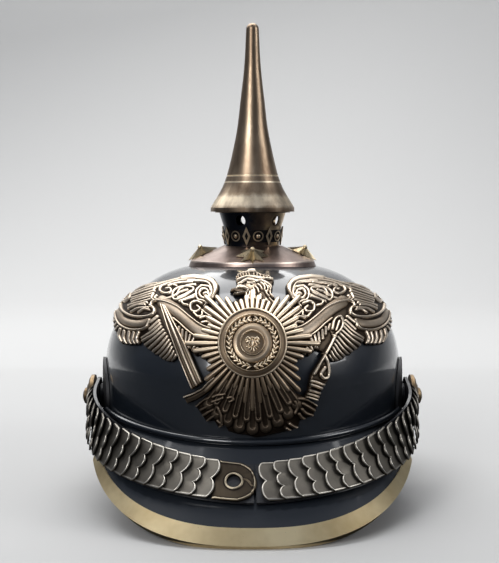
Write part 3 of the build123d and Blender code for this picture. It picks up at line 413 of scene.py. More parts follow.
# %% Neck patina
NECK_TONES = [(0.35, (0.020, 0.024, 0.034)), (0.62, (0.16, 0.12, 0.09)), (0.9, (0.60, 0.45, 0.27))]
neck_patina, tree, shader = material("neck_patina", (0.05, 0.05, 0.06), 1.0, 0.36)
node = worn(tree, shader, patch_scale=70.0, grain_scale=FINE_GRAIN, dent=0.1)
apart = own_place(tree)[1]
side = ranged(tree, apart.outputs["X"], -0.012, 0.022, -0.1, 0.55)
value = mixed_values(tree, side, node.outputs["Patch"], 0.7)
blended(tree, shader, value, NECK_TONES)
print("neck patina:", len(tree.nodes), "nodes")

# %% [markdown]
# The band round the neck is just as dark, but its lozenges and ringlets stand out and are lighter, partly
# rubbed bright and partly painted highlight. What stands out is told by its distance from the neck's cone,
# worked out from the place.

# %% Neck band patina
CONE_FOOT_RADIUS, CONE_FOOT_HEIGHT, CONE_SLOPE = 0.0177, 0.1549, 0.1298
BAND_GROUND, BAND_TOP = 0.0009, 0.0016
BAND_TONES = [(0.25, (0.030, 0.028, 0.030)), (0.55, (0.20, 0.155, 0.11)), (0.85, (0.66, 0.53, 0.37))]
band_patina, tree, shader = material("band_patina", (0.05, 0.05, 0.06), 1.0, 0.34)
node = worn(tree, shader, patch_scale=90.0, grain_scale=FINE_GRAIN, dent=0.1)
whole, apart = own_place(tree)
flat = add(tree, "ShaderNodeVectorMath", operation="MULTIPLY", sockets={1: (1.0, 1.0, 0.0)})
reach = add(tree, "ShaderNodeVectorMath", operation="LENGTH")
cone_values = {1: -CONE_SLOPE, 2: CONE_SLOPE * CONE_FOOT_HEIGHT - CONE_FOOT_RADIUS}
cone = add(tree, "ShaderNodeMath", operation="MULTIPLY_ADD", sockets=cone_values)
relief = add(tree, "ShaderNodeMath", operation="ADD")
join(
    tree,
    whole, flat.inputs[0],
    flat.outputs[0], reach.inputs[0],
    apart.outputs["Z"], cone.inputs[0],
    reach.outputs["Value"], relief.inputs[0],
    cone.outputs[0], relief.inputs[1],
)
# Raised figures are lighter: partly wear, partly painted highlight.
rubbed_and_highlit = ranged(tree, relief.outputs[0], BAND_GROUND, BAND_TOP, -0.15, 0.55)
value = mixed_values(tree, rubbed_and_highlit, node.outputs["Patch"], 0.7)
blended(tree, shader, value, BAND_TONES)
print("band patina:", len(tree.nodes), "nodes")

# %% [markdown]
# ### Which body has which finish
# The bodies come from the frame with one plain finish. Each gets its own here, also those that
# relief stands for later, so that nothing is bare if a relief is left out.

# %% Give every body its finish
FINISHES = {
    patent: ["shell", "front_visor", "neck_guard", "front_welt", "left_rear_welt", "right_rear_welt"],
    lining: ["front_visor_lining", "neck_guard_lining", "sweatband", "liner"],
    strap_leather: ["left_strap_leather", "right_strap_leather"],
    pale_brass: ["visor_trim", "spine", "spine_studs"],
    spike_brass: ["spike", "spike_thread_ring", "spike_washer"],
    neck_patina: ["neck"],
    band_patina: ["neck_band"],
    base_brass: ["base_plate"],
    stud_brass: ["star_studs"],
    boss_brass: ["left_rosette", "right_rosette", "left_side_post", "right_side_post"],
    plate_brass: ["eagle_plate", "plate_posts"],
    star_brass: ["guard_star", "medallion"],
    scale_brass: ["left_chinscales", "right_chinscales"],
    tongue_brass: ["left_end_plate", "right_end_plate", "strap_tongue"],
    steel: ["spine_nuts", "star_stud_nuts", "plate_nuts", "left_side_nut", "right_side_nut"],
    cockade_paint: ["left_cockade", "right_cockade"],
}
for finish, names in FINISHES.items():
    for name in names:
        nodes[name].data.materials.clear()
        nodes[name].data.materials.append(finish)
print("without a finish:", sorted(set(nodes) - {name for names in FINISHES.values() for name in names}))

# %% [markdown]
# ## Relief tools
# Stamped relief is built as a height field on the drawing sheet. Each feather is a stroke with a
# round back, laid over a gently swollen ground; where strokes meet, the higher one wins, which is
# how a punch leaves overlapping feathers. Only the points inside the outline are kept.

# %% Distances on the sheet


def round_back(share):
    """The height of a round-backed stroke, from its middle (0) to its edge (1)."""
    return np.sqrt(np.clip(1 - share * share, 0, None))


def segment_distance(grid_u, grid_v, start, end):
    """Distances to one segment, and how far along it the nearest point lies."""
    way = end - start
    size = max(float(way @ way), TINY)
    along = np.clip(((grid_u - start[0]) * way[0] + (grid_v - start[1]) * way[1]) / size, 0, 1)
    return np.hypot(grid_u - start[0] - along * way[0], grid_v - start[1] - along * way[1]), along


def smooth_line(points, steps=5):
    """A Catmull-Rom curve through the points."""
    points = np.asarray(points, float)
    if len(points) < 3:
        return points
    padded = np.vstack([2 * points[0] - points[1], points, 2 * points[-1] - points[-2]])
    curve = []
    for a, b, c, d in zip(padded, padded[1:], padded[2:], padded[3:]):
        for step in range(steps):
            t = step / steps
            bend, twist = 2 * a - 5 * b + 4 * c - d, 3 * b - a - 3 * c + d
            curve.append(0.5 * ((2 * b) + (c - a) * t + bend * t**2 + twist * t**3))
    curve.append(points[-1])
    return np.array(curve)


def outline_distance(grid_u, grid_v, outline):
    """Inside flags, distances to the outline and its nearest points."""
    inside = np.zeros(grid_u.shape, bool)
    best = np.full(grid_u.shape, FAR)
    near_u, near_v = grid_u.copy(), grid_v.copy()
    for start, end in zip(outline, np.roll(outline, -1, 0)):
        crosses = (start[1] > grid_v) != (end[1] > grid_v)
        rise = end[1] - start[1] if end[1] != start[1] else TINY
        inside ^= crosses & (grid_u < (end[0] - start[0]) * (grid_v - start[1]) / rise + start[0])
        gap, along = segment_distance(grid_u, grid_v, start, end)
        nearer = gap < best
        best = np.where(nearer, gap, best)
        near_u = np.where(nearer, start[0] + along * (end[0] - start[0]), near_u)
        near_v = np.where(nearer, start[1] + along * (end[1] - start[1]), near_v)
    return inside, best, near_u, near_v


def blurred(field, radius):
    """The field's mean over a square of that many cells each way."""
    for axis in (0, 1):
        padded = np.pad(field, [(radius + 1, radius) if k == axis else (0, 0) for k in (0, 1)], mode="edge")
        total = np.cumsum(padded, axis)
        size = 2 * radius + 1
        upper = np.take(total, range(size, padded.shape[axis]), axis)
        lower = np.take(total, range(0, padded.shape[axis] - size), axis)
        field = (upper - lower) / size
    return field


print("a curve through four points has", len(smooth_line([(0, 0), (1, 0), (1, 1), (0, 1)])), "points")

# %% [markdown]
# A stroke only touches the cells round it, so the rest of the field is left alone. The finished
# field becomes a mesh: one point per cell, four-sided faces between them, and a wall all round that
# goes down to the skull, so the sheet looks solid from the side.

# %% Strokes and meshes


def draw_strokes(height, ground, grid_u, grid_v, strokes, step):
    """Lays strokes (half width, rise, points) over the ground; a negative rise cuts a groove."""
    corner = grid_u[0, 0], grid_v[0, 0]
    for width, rise, points in strokes:
        line = smooth_line(points)
        low = np.floor((line.min(0) - width - corner) / step).astype(int)
        high = np.ceil((line.max(0) + width - corner) / step).astype(int) + 1
        part = slice(max(low[1], 0), max(high[1], 0)), slice(max(low[0], 0), max(high[0], 0))
        part_u, part_v = grid_u[part], grid_v[part]
        if part_u.size == 0:
            continue
        gap = np.full(part_u.shape, FAR)
        for start, end in zip(line, line[1:]):
            gap = np.minimum(gap, segment_distance(part_u, part_v, start, end)[0])
        back = rise * round_back(np.clip(gap / width, 0, 1))
        if rise < 0:
            height[part] += back
        else:
            raised = np.maximum(height[part], ground[part] + back)
            height[part] = np.where(gap < width, raised, height[part])
    return height


def grid_faces(grid, closed=False):
    """Four-sided faces over a grid of point numbers, closed when its last column meets its first."""
    before = grid if closed else grid[:, :-1]
    after = np.roll(grid, -1, 1) if closed else grid[:, 1:]
    return np.stack([before[:-1], before[1:], after[1:], after[:-1]], -1).reshape(-1, 4)


def mesh_object(name, points, faces, tones, finish, flip=False):
    """A smooth mesh piece with one tone per point."""
    if flip:
        points = points * (-1, 1, 1)
        faces = faces[:, ::-1]
    mesh = bpy.data.meshes.new(name)
    mesh.from_pydata(points.tolist(), [], faces.tolist())
    mesh.attributes.new("tone", "FLOAT", "POINT").data.foreach_set("value", np.asarray(tones, np.float32))
    mesh.shade_smooth()
    mesh.materials.append(finish)
    made = bpy.data.objects.new(name, mesh)
    bpy.context.scene.collection.objects.link(made)
    print(name, "faces:", len(mesh.polygons))
    return made


# %% [markdown]
# Patina settles in hollows and wear takes it off ridges, and the tone also holds painted shade in the
# hollows and painted highlights on the ridges. A point's tone therefore grows with its height over the mean
# of the field round it, once over a few cells and once over more.

# %% Sheets
# The walls down to the skull and under the scales are painted nearly black: painted shade along every edge.
WALL_SHADE_TONE = 0.05


def relief_tones(height, base, ground_tone, tone_scale):
    """Each point's brightness: more where it stands over what is round it."""
    fine, broad = height - blurred(height, 3), height - blurred(height, 8)
    return np.clip(tone_scale * (ground_tone + 0.27 * (height - base) + 1.2 * fine + 0.30 * broad), 0.0, 1.0)


def sheet_cells(keep):
    """Faces and used points of the kept cells."""
    cells = keep[:-1, :-1] | keep[1:, :-1] | keep[:-1, 1:] | keep[1:, 1:]
    used = np.zeros(keep.shape, bool)
    for rows in (slice(None, -1), slice(1, None)):
        for columns in (slice(None, -1), slice(1, None)):
            used[rows, columns] |= cells
    index = np.full(keep.shape, -1)
    index[used] = np.arange(used.sum())
    return grid_faces(index)[cells.reshape(-1)], used


def relief_sheet(
    name, outline, strokes, finish, ground=1.4, swell=1.2, soften=5.0, rim=0.9, step=0.5, foot=0.25,
    ground_tone=0.20, tone_scale=1.0, flip=False, hidden=None, place=on_skull,
):
    """A stamped sheet: strokes over a swollen ground inside an outline, with a wall down to the skull."""
    outline = np.asarray(outline, float)
    low = outline.min(0) - 2 * step
    count = np.ceil((outline.max(0) + 2 * step - low) / step).astype(int) + 1
    grid_u, grid_v = np.meshgrid(low[0] + step * np.arange(count[0]), low[1] + step * np.arange(count[1]))
    inside, gap, near_u, near_v = outline_distance(grid_u, grid_v, outline)
    gap = np.where(inside, gap, 0.0)
    base = rim + (ground - rim) * np.clip(gap / 1.2, 0, 1) + swell * (1 - np.exp(-gap / soften))
    height = draw_strokes(base.copy(), base, grid_u, grid_v, strokes, step)
    height = rim + (height - rim) * np.sqrt(np.clip(gap, 0, 1))
    tones = relief_tones(height, base, ground_tone, tone_scale)
    keep = inside if hidden is None else inside & ~hidden(grid_u, grid_v)
    faces, used = sheet_cells(keep)
    used_u, used_v = np.where(inside, grid_u, near_u)[used], np.where(inside, grid_v, near_v)[used]
    points = place(used_u, used_v, height[used])
    edges = np.concatenate([faces[:, [k, (k + 1) % 4]] for k in range(4)])
    known = {tuple(edge) for edge in edges.tolist()}
    border = np.array([edge for edge in known if (edge[1], edge[0]) not in known])
    walls = np.unique(border)
    below = {point: len(points) + k for k, point in enumerate(walls.tolist())}
    skirt = np.array([(a, below[a], below[b], b) for a, b in border.tolist()])
    points = np.vstack([points, place(used_u[walls], used_v[walls], np.full(len(walls), foot))])
    tones = np.concatenate([tones[used], np.full(len(walls), WALL_SHADE_TONE)])
    return mesh_object(name, points, np.vstack([faces, skirt]), tones, finish, flip)


def piece(obj, body, slot, *stands_for):
    """Ties a finished piece to its body and hides the bodies it stands for; the slot is not used."""
    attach(obj, body)
    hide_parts(*stands_for)


# %% [markdown]
# ## The wings
# A wing has a thick rolled leading edge that curls over at the top, long strands that stream away
# from it, a bare ribbon that crosses the feathers, and short rounded feathers below. It is drawn
# once, at seven times the sheet's size, and mirrored for the other side.

# %% Drawing helpers
STAR_COVER = 44


def strands(width, rise, *lines):
    """Strokes of one width and one rise."""
    return [(width, rise, points) for points in lines]


def scaled_strokes(strokes, sheet):
    """Strokes of an enlarged drawing at the sheet's own size."""
    return [(width / sheet[2], rise, traced(points, *sheet)) for width, rise, points in strokes]


def drawing(outline, strokes, sheet):
    """Outline and strokes of an enlarged drawing at the sheet's own size."""
    return traced(outline, *sheet), scaled_strokes(strokes, sheet)


def under_star(grid_u, grid_v):
    """Points that the star hides."""
    return np.hypot(grid_u - STAR_U, grid_v - STAR_V) < STAR_COVER


def plate_relief(name, outline, strokes, **form):
    """A relief of the eagle plate, tied to the helmet."""
    made = relief_sheet(name, outline, strokes, plate_brass, **form)
    piece(made, "helmet", "aged_brass", "eagle_plate")


print("the star hides the sheet within", STAR_COVER, "of its middle")

# %% [markdown]
# The outline is given at the sheet's own size, because the solid plate was cut along the same edge.
# The strokes in the next cells are at seven times that size, where fine lines are easy to place.

# %% Wing outline
WING_SHEET = (90.0, 240.0, 7.128)
WING_OUTLINE = [
    (203.7, 306.7), (213.6, 296.8), (218.2, 289.1), (219, 283.8), (215.2, 278.4), (207.5, 275.4),
    (193.8, 273.8), (181.5, 275.4), (170, 278.4), (160, 280.7), (150.9, 282.2), (143.3, 284.2),
    (135.6, 288), (124.9, 292.2), (116.5, 298.3), (109.6, 308.3), (108.1, 315.1), (111.5, 320.5),
    (112.7, 328.1), (116.5, 337.3), (120.3, 343.5), (128, 344.6), (137.9, 344.2), (140.2, 340.4),
    (145.6, 348.8), (150.9, 351.1), (153.2, 354.9), (157.8, 354.9), (160.1, 358.8), (166.2, 361.4),
    (171.6, 361.8), (175.4, 358.8), (182, 352), (188, 349.6), (195.3, 356), (212, 352), (222, 345),
    (222, 306),
]
print("wing outline:", len(WING_OUTLINE), "points")

# %% [markdown]
# A stroke is a half width, a rise and the points of its line. One thick stroke is the rolled edge,
# with thinner ones inside its curl. The strands share one width and rise, so only lines are listed.

# %% Rolled edge and top strands
ROLLED_EDGE = [
    (26, 1.7, [(830, 475), (868, 440), (893, 400), (902, 352), (888, 306), (850, 279), (800, 264),
               (740, 258), (660, 265)]),
    (10, 1.5, [(850, 415), (868, 380), (866, 345), (848, 314), (812, 300), (760, 296), (700, 297)]),
    (9, 1.3, [(795, 330), (850, 338), (860, 362)]),
]
TOP_STRANDS = strands(
    10, 1.3,
    [(760, 272), (690, 268), (610, 280), (530, 303), (460, 325), (390, 348), (310, 378)],
    [(750, 288), (670, 286), (590, 300), (520, 325), (450, 348), (370, 372), (290, 400)],
    [(740, 262), (640, 258), (560, 275), (480, 296), (400, 320), (330, 342), (250, 372)],
    [(730, 304), (660, 306), (600, 316), (560, 330)], [(460, 365), (400, 385), (340, 405), (300, 418)],
    [(455, 385), (400, 402), (340, 420), (300, 433)], [(450, 404), (400, 418), (350, 432), (305, 448)],
    [(440, 425), (390, 440), (330, 456), (280, 470)], [(410, 450), (360, 462), (300, 482)],
    [(245, 380), (205, 405), (165, 440), (150, 480)], [(255, 395), (222, 415), (185, 450), (165, 500)],
)
print("strokes:", len(ROLLED_EDGE), "and", len(TOP_STRANDS))

# %% [markdown]
# Hooked strokes break up the even flow behind the edge. Their widths and rises differ a little, so
# that the wing doesn't look ruled.

# %% Curls
CURLS = [
    (10, 1.5, [(850, 385), (835, 360), (800, 356), (783, 385), (800, 414), (835, 416), (850, 398),
               (832, 382), (814, 388)]),
    (9, 1.2, [(790, 335), (762, 362), (760, 405), (775, 430)]),
    (9, 1.3, [(620, 332), (560, 312), (512, 330), (500, 362), (540, 385), (582, 372), (572, 348),
              (545, 350)]),
    (9, 1.2, [(478, 400), (466, 418), (500, 430), (560, 420), (620, 392), (645, 352), (700, 328),
              (755, 322)]),
    (9, 1.3, [(592, 412), (598, 372), (640, 342), (700, 338), (742, 350), (718, 382), (660, 412),
              (610, 430), (592, 412)]),
    (7, 1.2, [(620, 400), (655, 372), (700, 358)]),
    (7, 1.2, [(630, 414), (680, 392), (725, 366)]),
    (9, 1.2, [(640, 442), (700, 418), (762, 388)]),
    (9, 1.3, [(700, 468), (668, 460), (660, 438), (690, 424), (745, 408)]),
    (9, 1.3, [(800, 452), (752, 440), (720, 464), (726, 505), (762, 512), (786, 490), (766, 472)]),
    (8, 1.2, [(838, 446), (800, 432), (770, 430)]),
    (9, 1.3, [(742, 520), (770, 548), (800, 540), (800, 515)]),
    (9, 1.3, [(800, 500), (832, 528), (866, 548)]),
    (9, 1.3, [(786, 560), (826, 548), (864, 566)]),
    (9, 1.3, [(800, 590), (840, 585), (870, 606)]),
    (8, 1.2, [(400, 330), (440, 322), (470, 340), (455, 360)]),
]
print("curls:", len(CURLS))

# %% [markdown]
# The ribbon is one broad stroke between two thin high ones, which read as its hems. It ends in a
# loop near the wing's tip, with a few folds inside it.

# %% Ribbon and its loop
RIBBON = [
    (44, 1.3, [(520, 440), (600, 492), (680, 562), (760, 632), (850, 665)]),
    (7, 1.9, [(440, 470), (455, 444), (505, 440), (565, 454), (640, 490), (720, 555), (800, 612),
              (885, 642)]),
    (7, 1.9, [(600, 562), (650, 602), (700, 648), (760, 690), (810, 702), (862, 690)]),
    (7, 1.7, [(455, 395), (446, 420), (470, 440)]),
]
LOOP = [
    (10, 1.9, [(292, 385), (286, 415), (252, 440), (244, 420), (268, 392), (292, 385)]),
    (10, 2.0, [(222, 425), (224, 480), (246, 515), (290, 540), (352, 554), (425, 548), (464, 524),
               (462, 492), (436, 474)]),
    (9, 1.3, [(280, 492), (330, 470), (396, 466)]),
    (9, 1.3, [(300, 516), (350, 490), (420, 486)]),
    (8, 1.3, [(350, 520), (388, 496), (425, 500)]),
    (28, 1.2, [(205, 515), (232, 570), (300, 596), (370, 596), (420, 575)]),
    (8, 1.9, [(185, 500), (190, 560), (225, 610), (290, 640), (360, 642), (408, 624), (432, 574)]),
]
print("strokes:", len(RIBBON), "and", len(LOOP))

# %% [markdown]
# Short feathers hang below the ribbon and its loop, and small tips point outwards along the wing's
# edge. The tips are low, because they only have to break the light there.

# %% Lower feathers and the edge
LOWER_FEATHERS = strands(
    11, 1.3,
    [(485, 548), (435, 590)], [(498, 578), (430, 640)], [(505, 600), (445, 655), (372, 700)],
    [(512, 622), (450, 680), (366, 722)], [(528, 645), (450, 712), (384, 752)],
    [(540, 668), (470, 735), (420, 775)], [(555, 692), (500, 755), (446, 795)],
    [(568, 716), (520, 775), (470, 818)], [(580, 740), (540, 795), (490, 838)],
    [(590, 766), (560, 815), (520, 850)], [(600, 796), (580, 830), (548, 862)],
    [(612, 822), (600, 845), (580, 866)], [(218, 635), (205, 680), (220, 722)],
    [(248, 650), (240, 695), (250, 738)], [(284, 655), (275, 700), (282, 742)],
    [(318, 658), (305, 705), (312, 742)], [(350, 655), (330, 700), (338, 738)], [(612, 605), (622, 640)],
    [(640, 625), (640, 672)], [(665, 645), (660, 705)], [(692, 662), (684, 730)], [(718, 680), (700, 750)],
    [(745, 700), (712, 765)], [(765, 730), (730, 785)], [(770, 770), (735, 835)], [(800, 790), (765, 850)],
    [(700, 760), (690, 800)],
)
EDGE_TIPS = strands(
    8, 1.0,
    [(215, 410), (150, 440)], [(205, 440), (140, 470)], [(198, 470), (135, 500)], [(194, 500), (132, 530)],
    [(190, 530), (138, 560)], [(188, 560), (145, 590)], [(192, 590), (155, 620)], [(200, 615), (165, 650)],
    [(255, 372), (222, 388)], [(300, 352), (270, 366)], [(392, 322), (378, 302)], [(430, 312), (416, 290)],
    [(470, 304), (456, 284)], [(508, 298), (498, 278)], [(545, 290), (538, 270)],
)
print("strokes:", len(LOWER_FEATHERS), "and", len(EDGE_TIPS))

# %% [markdown]
# The order of the lists doesn't change the result, as the higher stroke wins wherever two meet. The
# right wing is the same sheet, flipped. What the star hides is left out of both.

# %% Both wings
wing_strokes = LOWER_FEATHERS + EDGE_TIPS + TOP_STRANDS + CURLS + LOOP + RIBBON + ROLLED_EDGE
wing_strokes = scaled_strokes(wing_strokes, WING_SHEET)
plate_relief("left_wing", WING_OUTLINE, wing_strokes, hidden=under_star, step=0.42)
plate_relief("right_wing", WING_OUTLINE, wing_strokes, hidden=under_star, step=0.42, flip=True)

# %% [markdown]
# ## Head, neck and crown
# The crowned head looks to one side. Its neck is a fan of long feathers, the back of the head has
# short hooked ones, and the crown is a pearled cap with a small orb. It is drawn larger than the
# wings, because its strokes are finer.

# %% Head outline and strokes
HEAD_SHEET = (225.0, 255.0, 24.12)
HEAD_OUTLINE = [
    (110, 850), (150, 800), (270, 770), (280, 690), (330, 650), (270, 640), (250, 540), (300, 450),
    (420, 400), (520, 385), (540, 350), (640, 335), (750, 350), (770, 400), (900, 430), (1060, 470),
    (1180, 560), (1190, 610), (1150, 660), (1160, 760), (1130, 850), (1140, 940), (1215, 1020),
    (1180, 1060), (1250, 1150), (1290, 1240), (1400, 1400), (1400, 1700), (100, 1700), (100, 1400),
    (200, 1300), (330, 1150), (470, 1010), (480, 920), (330, 940), (240, 950), (180, 900), (520, 862),
    (180, 842),
]
HEAD_STROKES = [
    (30, 1.6, [(120, 838), (200, 795), (320, 768), (440, 780), (550, 830)]),
    (26, 1.5, [(200, 890), (270, 930), (360, 915), (470, 885), (560, 862)]),
    (16, 1.1, [(250, 878), (330, 872)]),
    (100, 0.8, [(590, 750), (690, 760)]), (20, -0.9, [(628, 738), (652, 742)]),
    (26, 1.5, [(290, 700), (360, 690), (440, 650), (560, 610), (680, 632), (800, 655), (900, 640)]),
    (22, 1.3, [(540, 690), (620, 700), (720, 690)]),
    (22, 1.6, [(275, 610), (330, 600), (420, 575), (560, 548), (760, 560), (960, 590), (1150, 575)]),
    (20, 1.7, [(262, 560), (300, 470), (420, 418), (600, 398), (780, 410), (960, 440), (1100, 500),
               (1165, 570)]),
    (24, 1.9, [(560, 372), (640, 356), (730, 372)]),
]
LEFT_PEARLS = (310, 505), (370, 480), (430, 465), (500, 455), (570, 450)
HEAD_STROKES += [(19, 1.6, [(x, y), (x + 18, y + 45)]) for x, y in LEFT_PEARLS]
RIGHT_PEARLS = (700, 455), (780, 462), (860, 475), (940, 490), (1020, 510), (1090, 530)
HEAD_STROKES += [(20, 1.5, [(x, y), (x - 8, y + 40)]) for x, y in RIGHT_PEARLS]
HEAD_STROKES += strands(
    24, 1.4,
    [(900, 650), (1000, 690), (1090, 740), (1130, 800)], [(790, 740), (850, 780), (890, 850)],
    [(730, 790), (790, 850), (815, 930)], [(860, 700), (920, 740), (960, 810), (950, 860)],
    [(950, 720), (1010, 770), (1040, 840), (1010, 900)],
    [(1050, 770), (1100, 830), (1090, 890), (1110, 960), (1195, 1030)],
    [(980, 890), (1010, 960), (1060, 1010)], [(1070, 1060), (1150, 1130), (1235, 1200)],
    [(980, 1080), (1050, 1150), (1120, 1210)], [(680, 820), (700, 880)], [(520, 930), (505, 1000)],
    [(600, 900), (585, 990)],
)
HEAD_STROKES += strands(
    46, 1.6,
    [(700, 880), (715, 1120), (728, 1420)], [(560, 1010), (585, 1200), (630, 1420)],
    [(860, 1000), (845, 1200), (825, 1420)], [(420, 1150), (480, 1290), (540, 1430)],
    [(980, 1130), (950, 1280), (915, 1430)], [(330, 1310), (400, 1400), (450, 1450)],
    [(1090, 1240), (1050, 1350), (1010, 1450)], [(1200, 1250), (1170, 1350), (1110, 1460)],
    [(240, 1290), (300, 1400), (330, 1450)],
)
print("head strokes:", len(HEAD_STROKES))

# %% [markdown]
# The head's sheet has finer steps than the wings', so that its eye and its pearls stay round.

# %% Head relief
head_form = {"ground": 1.6, "swell": 1.3, "soften": 4.0, "step": 0.3, "ground_tone": 0.30}
plate_relief("eagle_head", *drawing(HEAD_OUTLINE, HEAD_STROKES, HEAD_SHEET), hidden=under_star, **head_form)

# %% [markdown]
# ## Tail and claws
# Below the star the tail spreads in long looped feathers, and each claw grips what it holds. The
# feathers turn evenly about the star's middle, so a function draws them and a row is one line.

# %% Tail outline and claws
TAIL_SHEET = (180.0, 340.0, 10.45)
TAIL_OUTLINE = [
    (300, 560), (150, 690), (200, 760), (230, 800), (270, 860), (350, 850), (400, 925), (470, 900),
    (500, 960), (600, 990), (700, 1000), (790, 1025), (900, 1010), (1010, 985), (1120, 960), (1160, 950),
    (1240, 920), (1260, 850), (1400, 800), (1430, 740), (1445, 680), (1300, 590), (1230, 560), (1000, 300),
    (500, 300),
]
LEFT_CLAW = strands(
    17, 1.7,
    [(310, 600), (240, 630), (165, 695)], [(340, 670), (290, 690), (220, 730)],
    [(350, 725), (300, 750), (240, 790)], [(370, 780), (330, 810), (285, 848)],
    [(440, 600), (400, 650), (380, 720), (400, 780)],
)
RAISED_CLAWS = strands(
    20, 2.3,
    [(350, 590), (400, 570), (470, 560)], [(340, 640), (400, 620), (450, 600)],
    [(500, 600), (540, 590), (560, 620), (520, 640)], [(400, 840), (440, 880), (415, 915)],
    [(400, 700), (430, 770), (440, 850)], [(1140, 870), (1180, 900), (1225, 920)],
    [(1110, 920), (1150, 945)],
)
RIGHT_CLAW = strands(
    20, 1.8,
    [(1235, 610), (1300, 615), (1370, 640), (1435, 685)], [(1280, 660), (1330, 690), (1400, 735)],
    [(1270, 720), (1310, 760), (1380, 790)], [(1240, 770), (1270, 810), (1310, 835)],
    [(1200, 640), (1220, 700), (1200, 760)],
)
print("claw strokes:", len(LEFT_CLAW) + len(RAISED_CLAWS) + len(RIGHT_CLAW))

# %% [markdown]
# Every feather has a round body, a hollow inside it and a fine quill in the hollow. A row of long
# ones lies under a row of short ones, set off by half a feather. The raised claws come last, because
# a hollow also cuts whatever was drawn before it.

# %% Tail feathers
FEATHER_TURN = 9
LONG_REACHES = (77, 80.5, 84, 86.5, 87.5, 86.5, 84, 80.5, 77)
SHORT_REACHES = (70, 73, 75, 76.5, 76.5, 75, 73, 70)
BODY_TIP_SHARE, HOLLOW_TIP_SHARE = 0.4, 0.9
HOLLOW_WIDTH_SHARE, HOLLOW_DEPTH_SHARE = 0.46, 0.42
QUILL_WIDTH_SHARE, QUILL_RISE_SHARE = 0.14, 0.35


def feather(turn_degrees, low, high, width, rise):
    """A feather that hangs from the star's middle: a round body with a hollow and a quill in it."""
    turn = math.radians(turn_degrees)
    left, top, scale = TAIL_SHEET
    middle = np.array(((STAR_U - left) * scale, (STAR_V - top) * scale))
    way = np.array((math.sin(turn), math.cos(turn)))
    root = middle + way * (low * scale)
    body = [root, middle + way * (high * scale - width * BODY_TIP_SHARE)]
    hollow = [root, middle + way * (high * scale - width * HOLLOW_TIP_SHARE)]
    return [
        (width, rise, body),
        (width * HOLLOW_WIDTH_SHARE, -rise * HOLLOW_DEPTH_SHARE, hollow),
        (width * QUILL_WIDTH_SHARE, rise * QUILL_RISE_SHARE, hollow),
    ]


def feather_row(reaches, low, width, rise):
    """A row of feathers, spread evenly to both sides of the middle."""
    first = -FEATHER_TURN * (len(reaches) - 1) / 2
    row = [feather(first + FEATHER_TURN * k, low, high, width, rise) for k, high in enumerate(reaches)]
    return [stroke for strokes in row for stroke in strokes]


tail_strokes = LEFT_CLAW + feather_row(LONG_REACHES, 46, 66, 1.7) + feather_row(SHORT_REACHES, 44, 44, 2.3)
tail_strokes += RAISED_CLAWS + RIGHT_CLAW
# Painted shade: the tail's tones are scaled to about a third, with a low ground tone, so the plate's lower
# part is darker.
tail_form = {"ground": 1.5, "swell": 1.1, "soften": 4.0, "step": 0.38, "ground_tone": 0.12, "tone_scale": 0.34}
plate_relief("eagle_tail", *drawing(TAIL_OUTLINE, tail_strokes, TAIL_SHEET), hidden=under_star, **tail_form)

# %% [markdown]
# ## Sword and sceptre
# They lie over the wings, so each is a narrow sheet of its own that stands a little higher. The
# blade has two bright edges with a flat between them; the sceptre is a turned rod with a leaf.

# %% Sword and sceptre drawings
SWORD_OUTLINE = [
    (500, 455), (548, 470), (640, 640), (730, 830), (808, 1012), (728, 1066), (640, 850), (560, 640),
]
SWORD_STROKES = [
    (9, 1.1, [(508, 466), (565, 640), (645, 850), (732, 1056)]),
    (9, 0.9, [(528, 470), (600, 640), (682, 840), (768, 1038)]),
    (9, 0.8, [(544, 474), (634, 645), (722, 835), (800, 1012)]),
]
GUARD_OUTLINE = [(665, 1112), (735, 1085), (800, 1050), (838, 1010), (895, 962), (905, 1010), (860, 1075),
                 (780, 1130), (695, 1170)]
GUARD_STROKES = [(10, 1.2, [(674, 1116), (740, 1090), (806, 1054), (842, 1016), (893, 975)])]
SCEPTRE_OUTLINE = [
    (1500, 140), (1560, 200), (1575, 330), (1545, 430), (1490, 500), (1460, 580), (1440, 640), (1300, 600),
    (1335, 530), (1350, 430), (1375, 340), (1440, 240),
]
SCEPTRE_STROKES = [
    (20, 1.6, [(1500, 160), (1440, 260), (1392, 350)]),
    (18, 1.5, [(1505, 170), (1540, 260), (1545, 370), (1500, 400), (1460, 360), (1500, 290)]),
    (16, 1.5, [(1350, 425), (1420, 440), (1500, 470)]), (18, 1.7, [(1345, 462), (1410, 478), (1475, 505)]),
    (14, 1.4, [(1335, 520), (1400, 535), (1460, 560)]), (14, 1.4, [(1325, 556), (1390, 572), (1450, 596)]),
    (14, 1.4, [(1315, 592), (1380, 608), (1436, 630)]),
]
SHAFT_OUTLINE = [
    (325, 357), (321.5, 354), (327, 345), (331.5, 336.5), (328.5, 331), (329.5, 323.5), (334, 317.5),
    (340, 315), (343.5, 320), (343, 328), (339, 334.5), (335.5, 338.5), (331, 347.5),
]
SHAFT_STROKES = [
    (1.6, 1.3, [(325, 354), (330.5, 344), (334, 337)]), (1.5, 1.4, [(330.5, 336), (337, 339)]),
    (1.3, 1.3, [(331, 330), (333, 321), (338.5, 317.5), (341.5, 323), (339.5, 330), (334.5, 335)]),
    (1.2, 1.2, [(334.5, 331), (337.5, 322.5)]),
]
print("strokes:", len(SWORD_STROKES), len(GUARD_STROKES), len(SCEPTRE_STROKES), len(SHAFT_STROKES))

# %% [markdown]
# The four sheets differ in how high they stand and how sharp their edges are, so each has its own
# form: ground is the sheet's height, rim the height of its edge and swell how much it bulges.

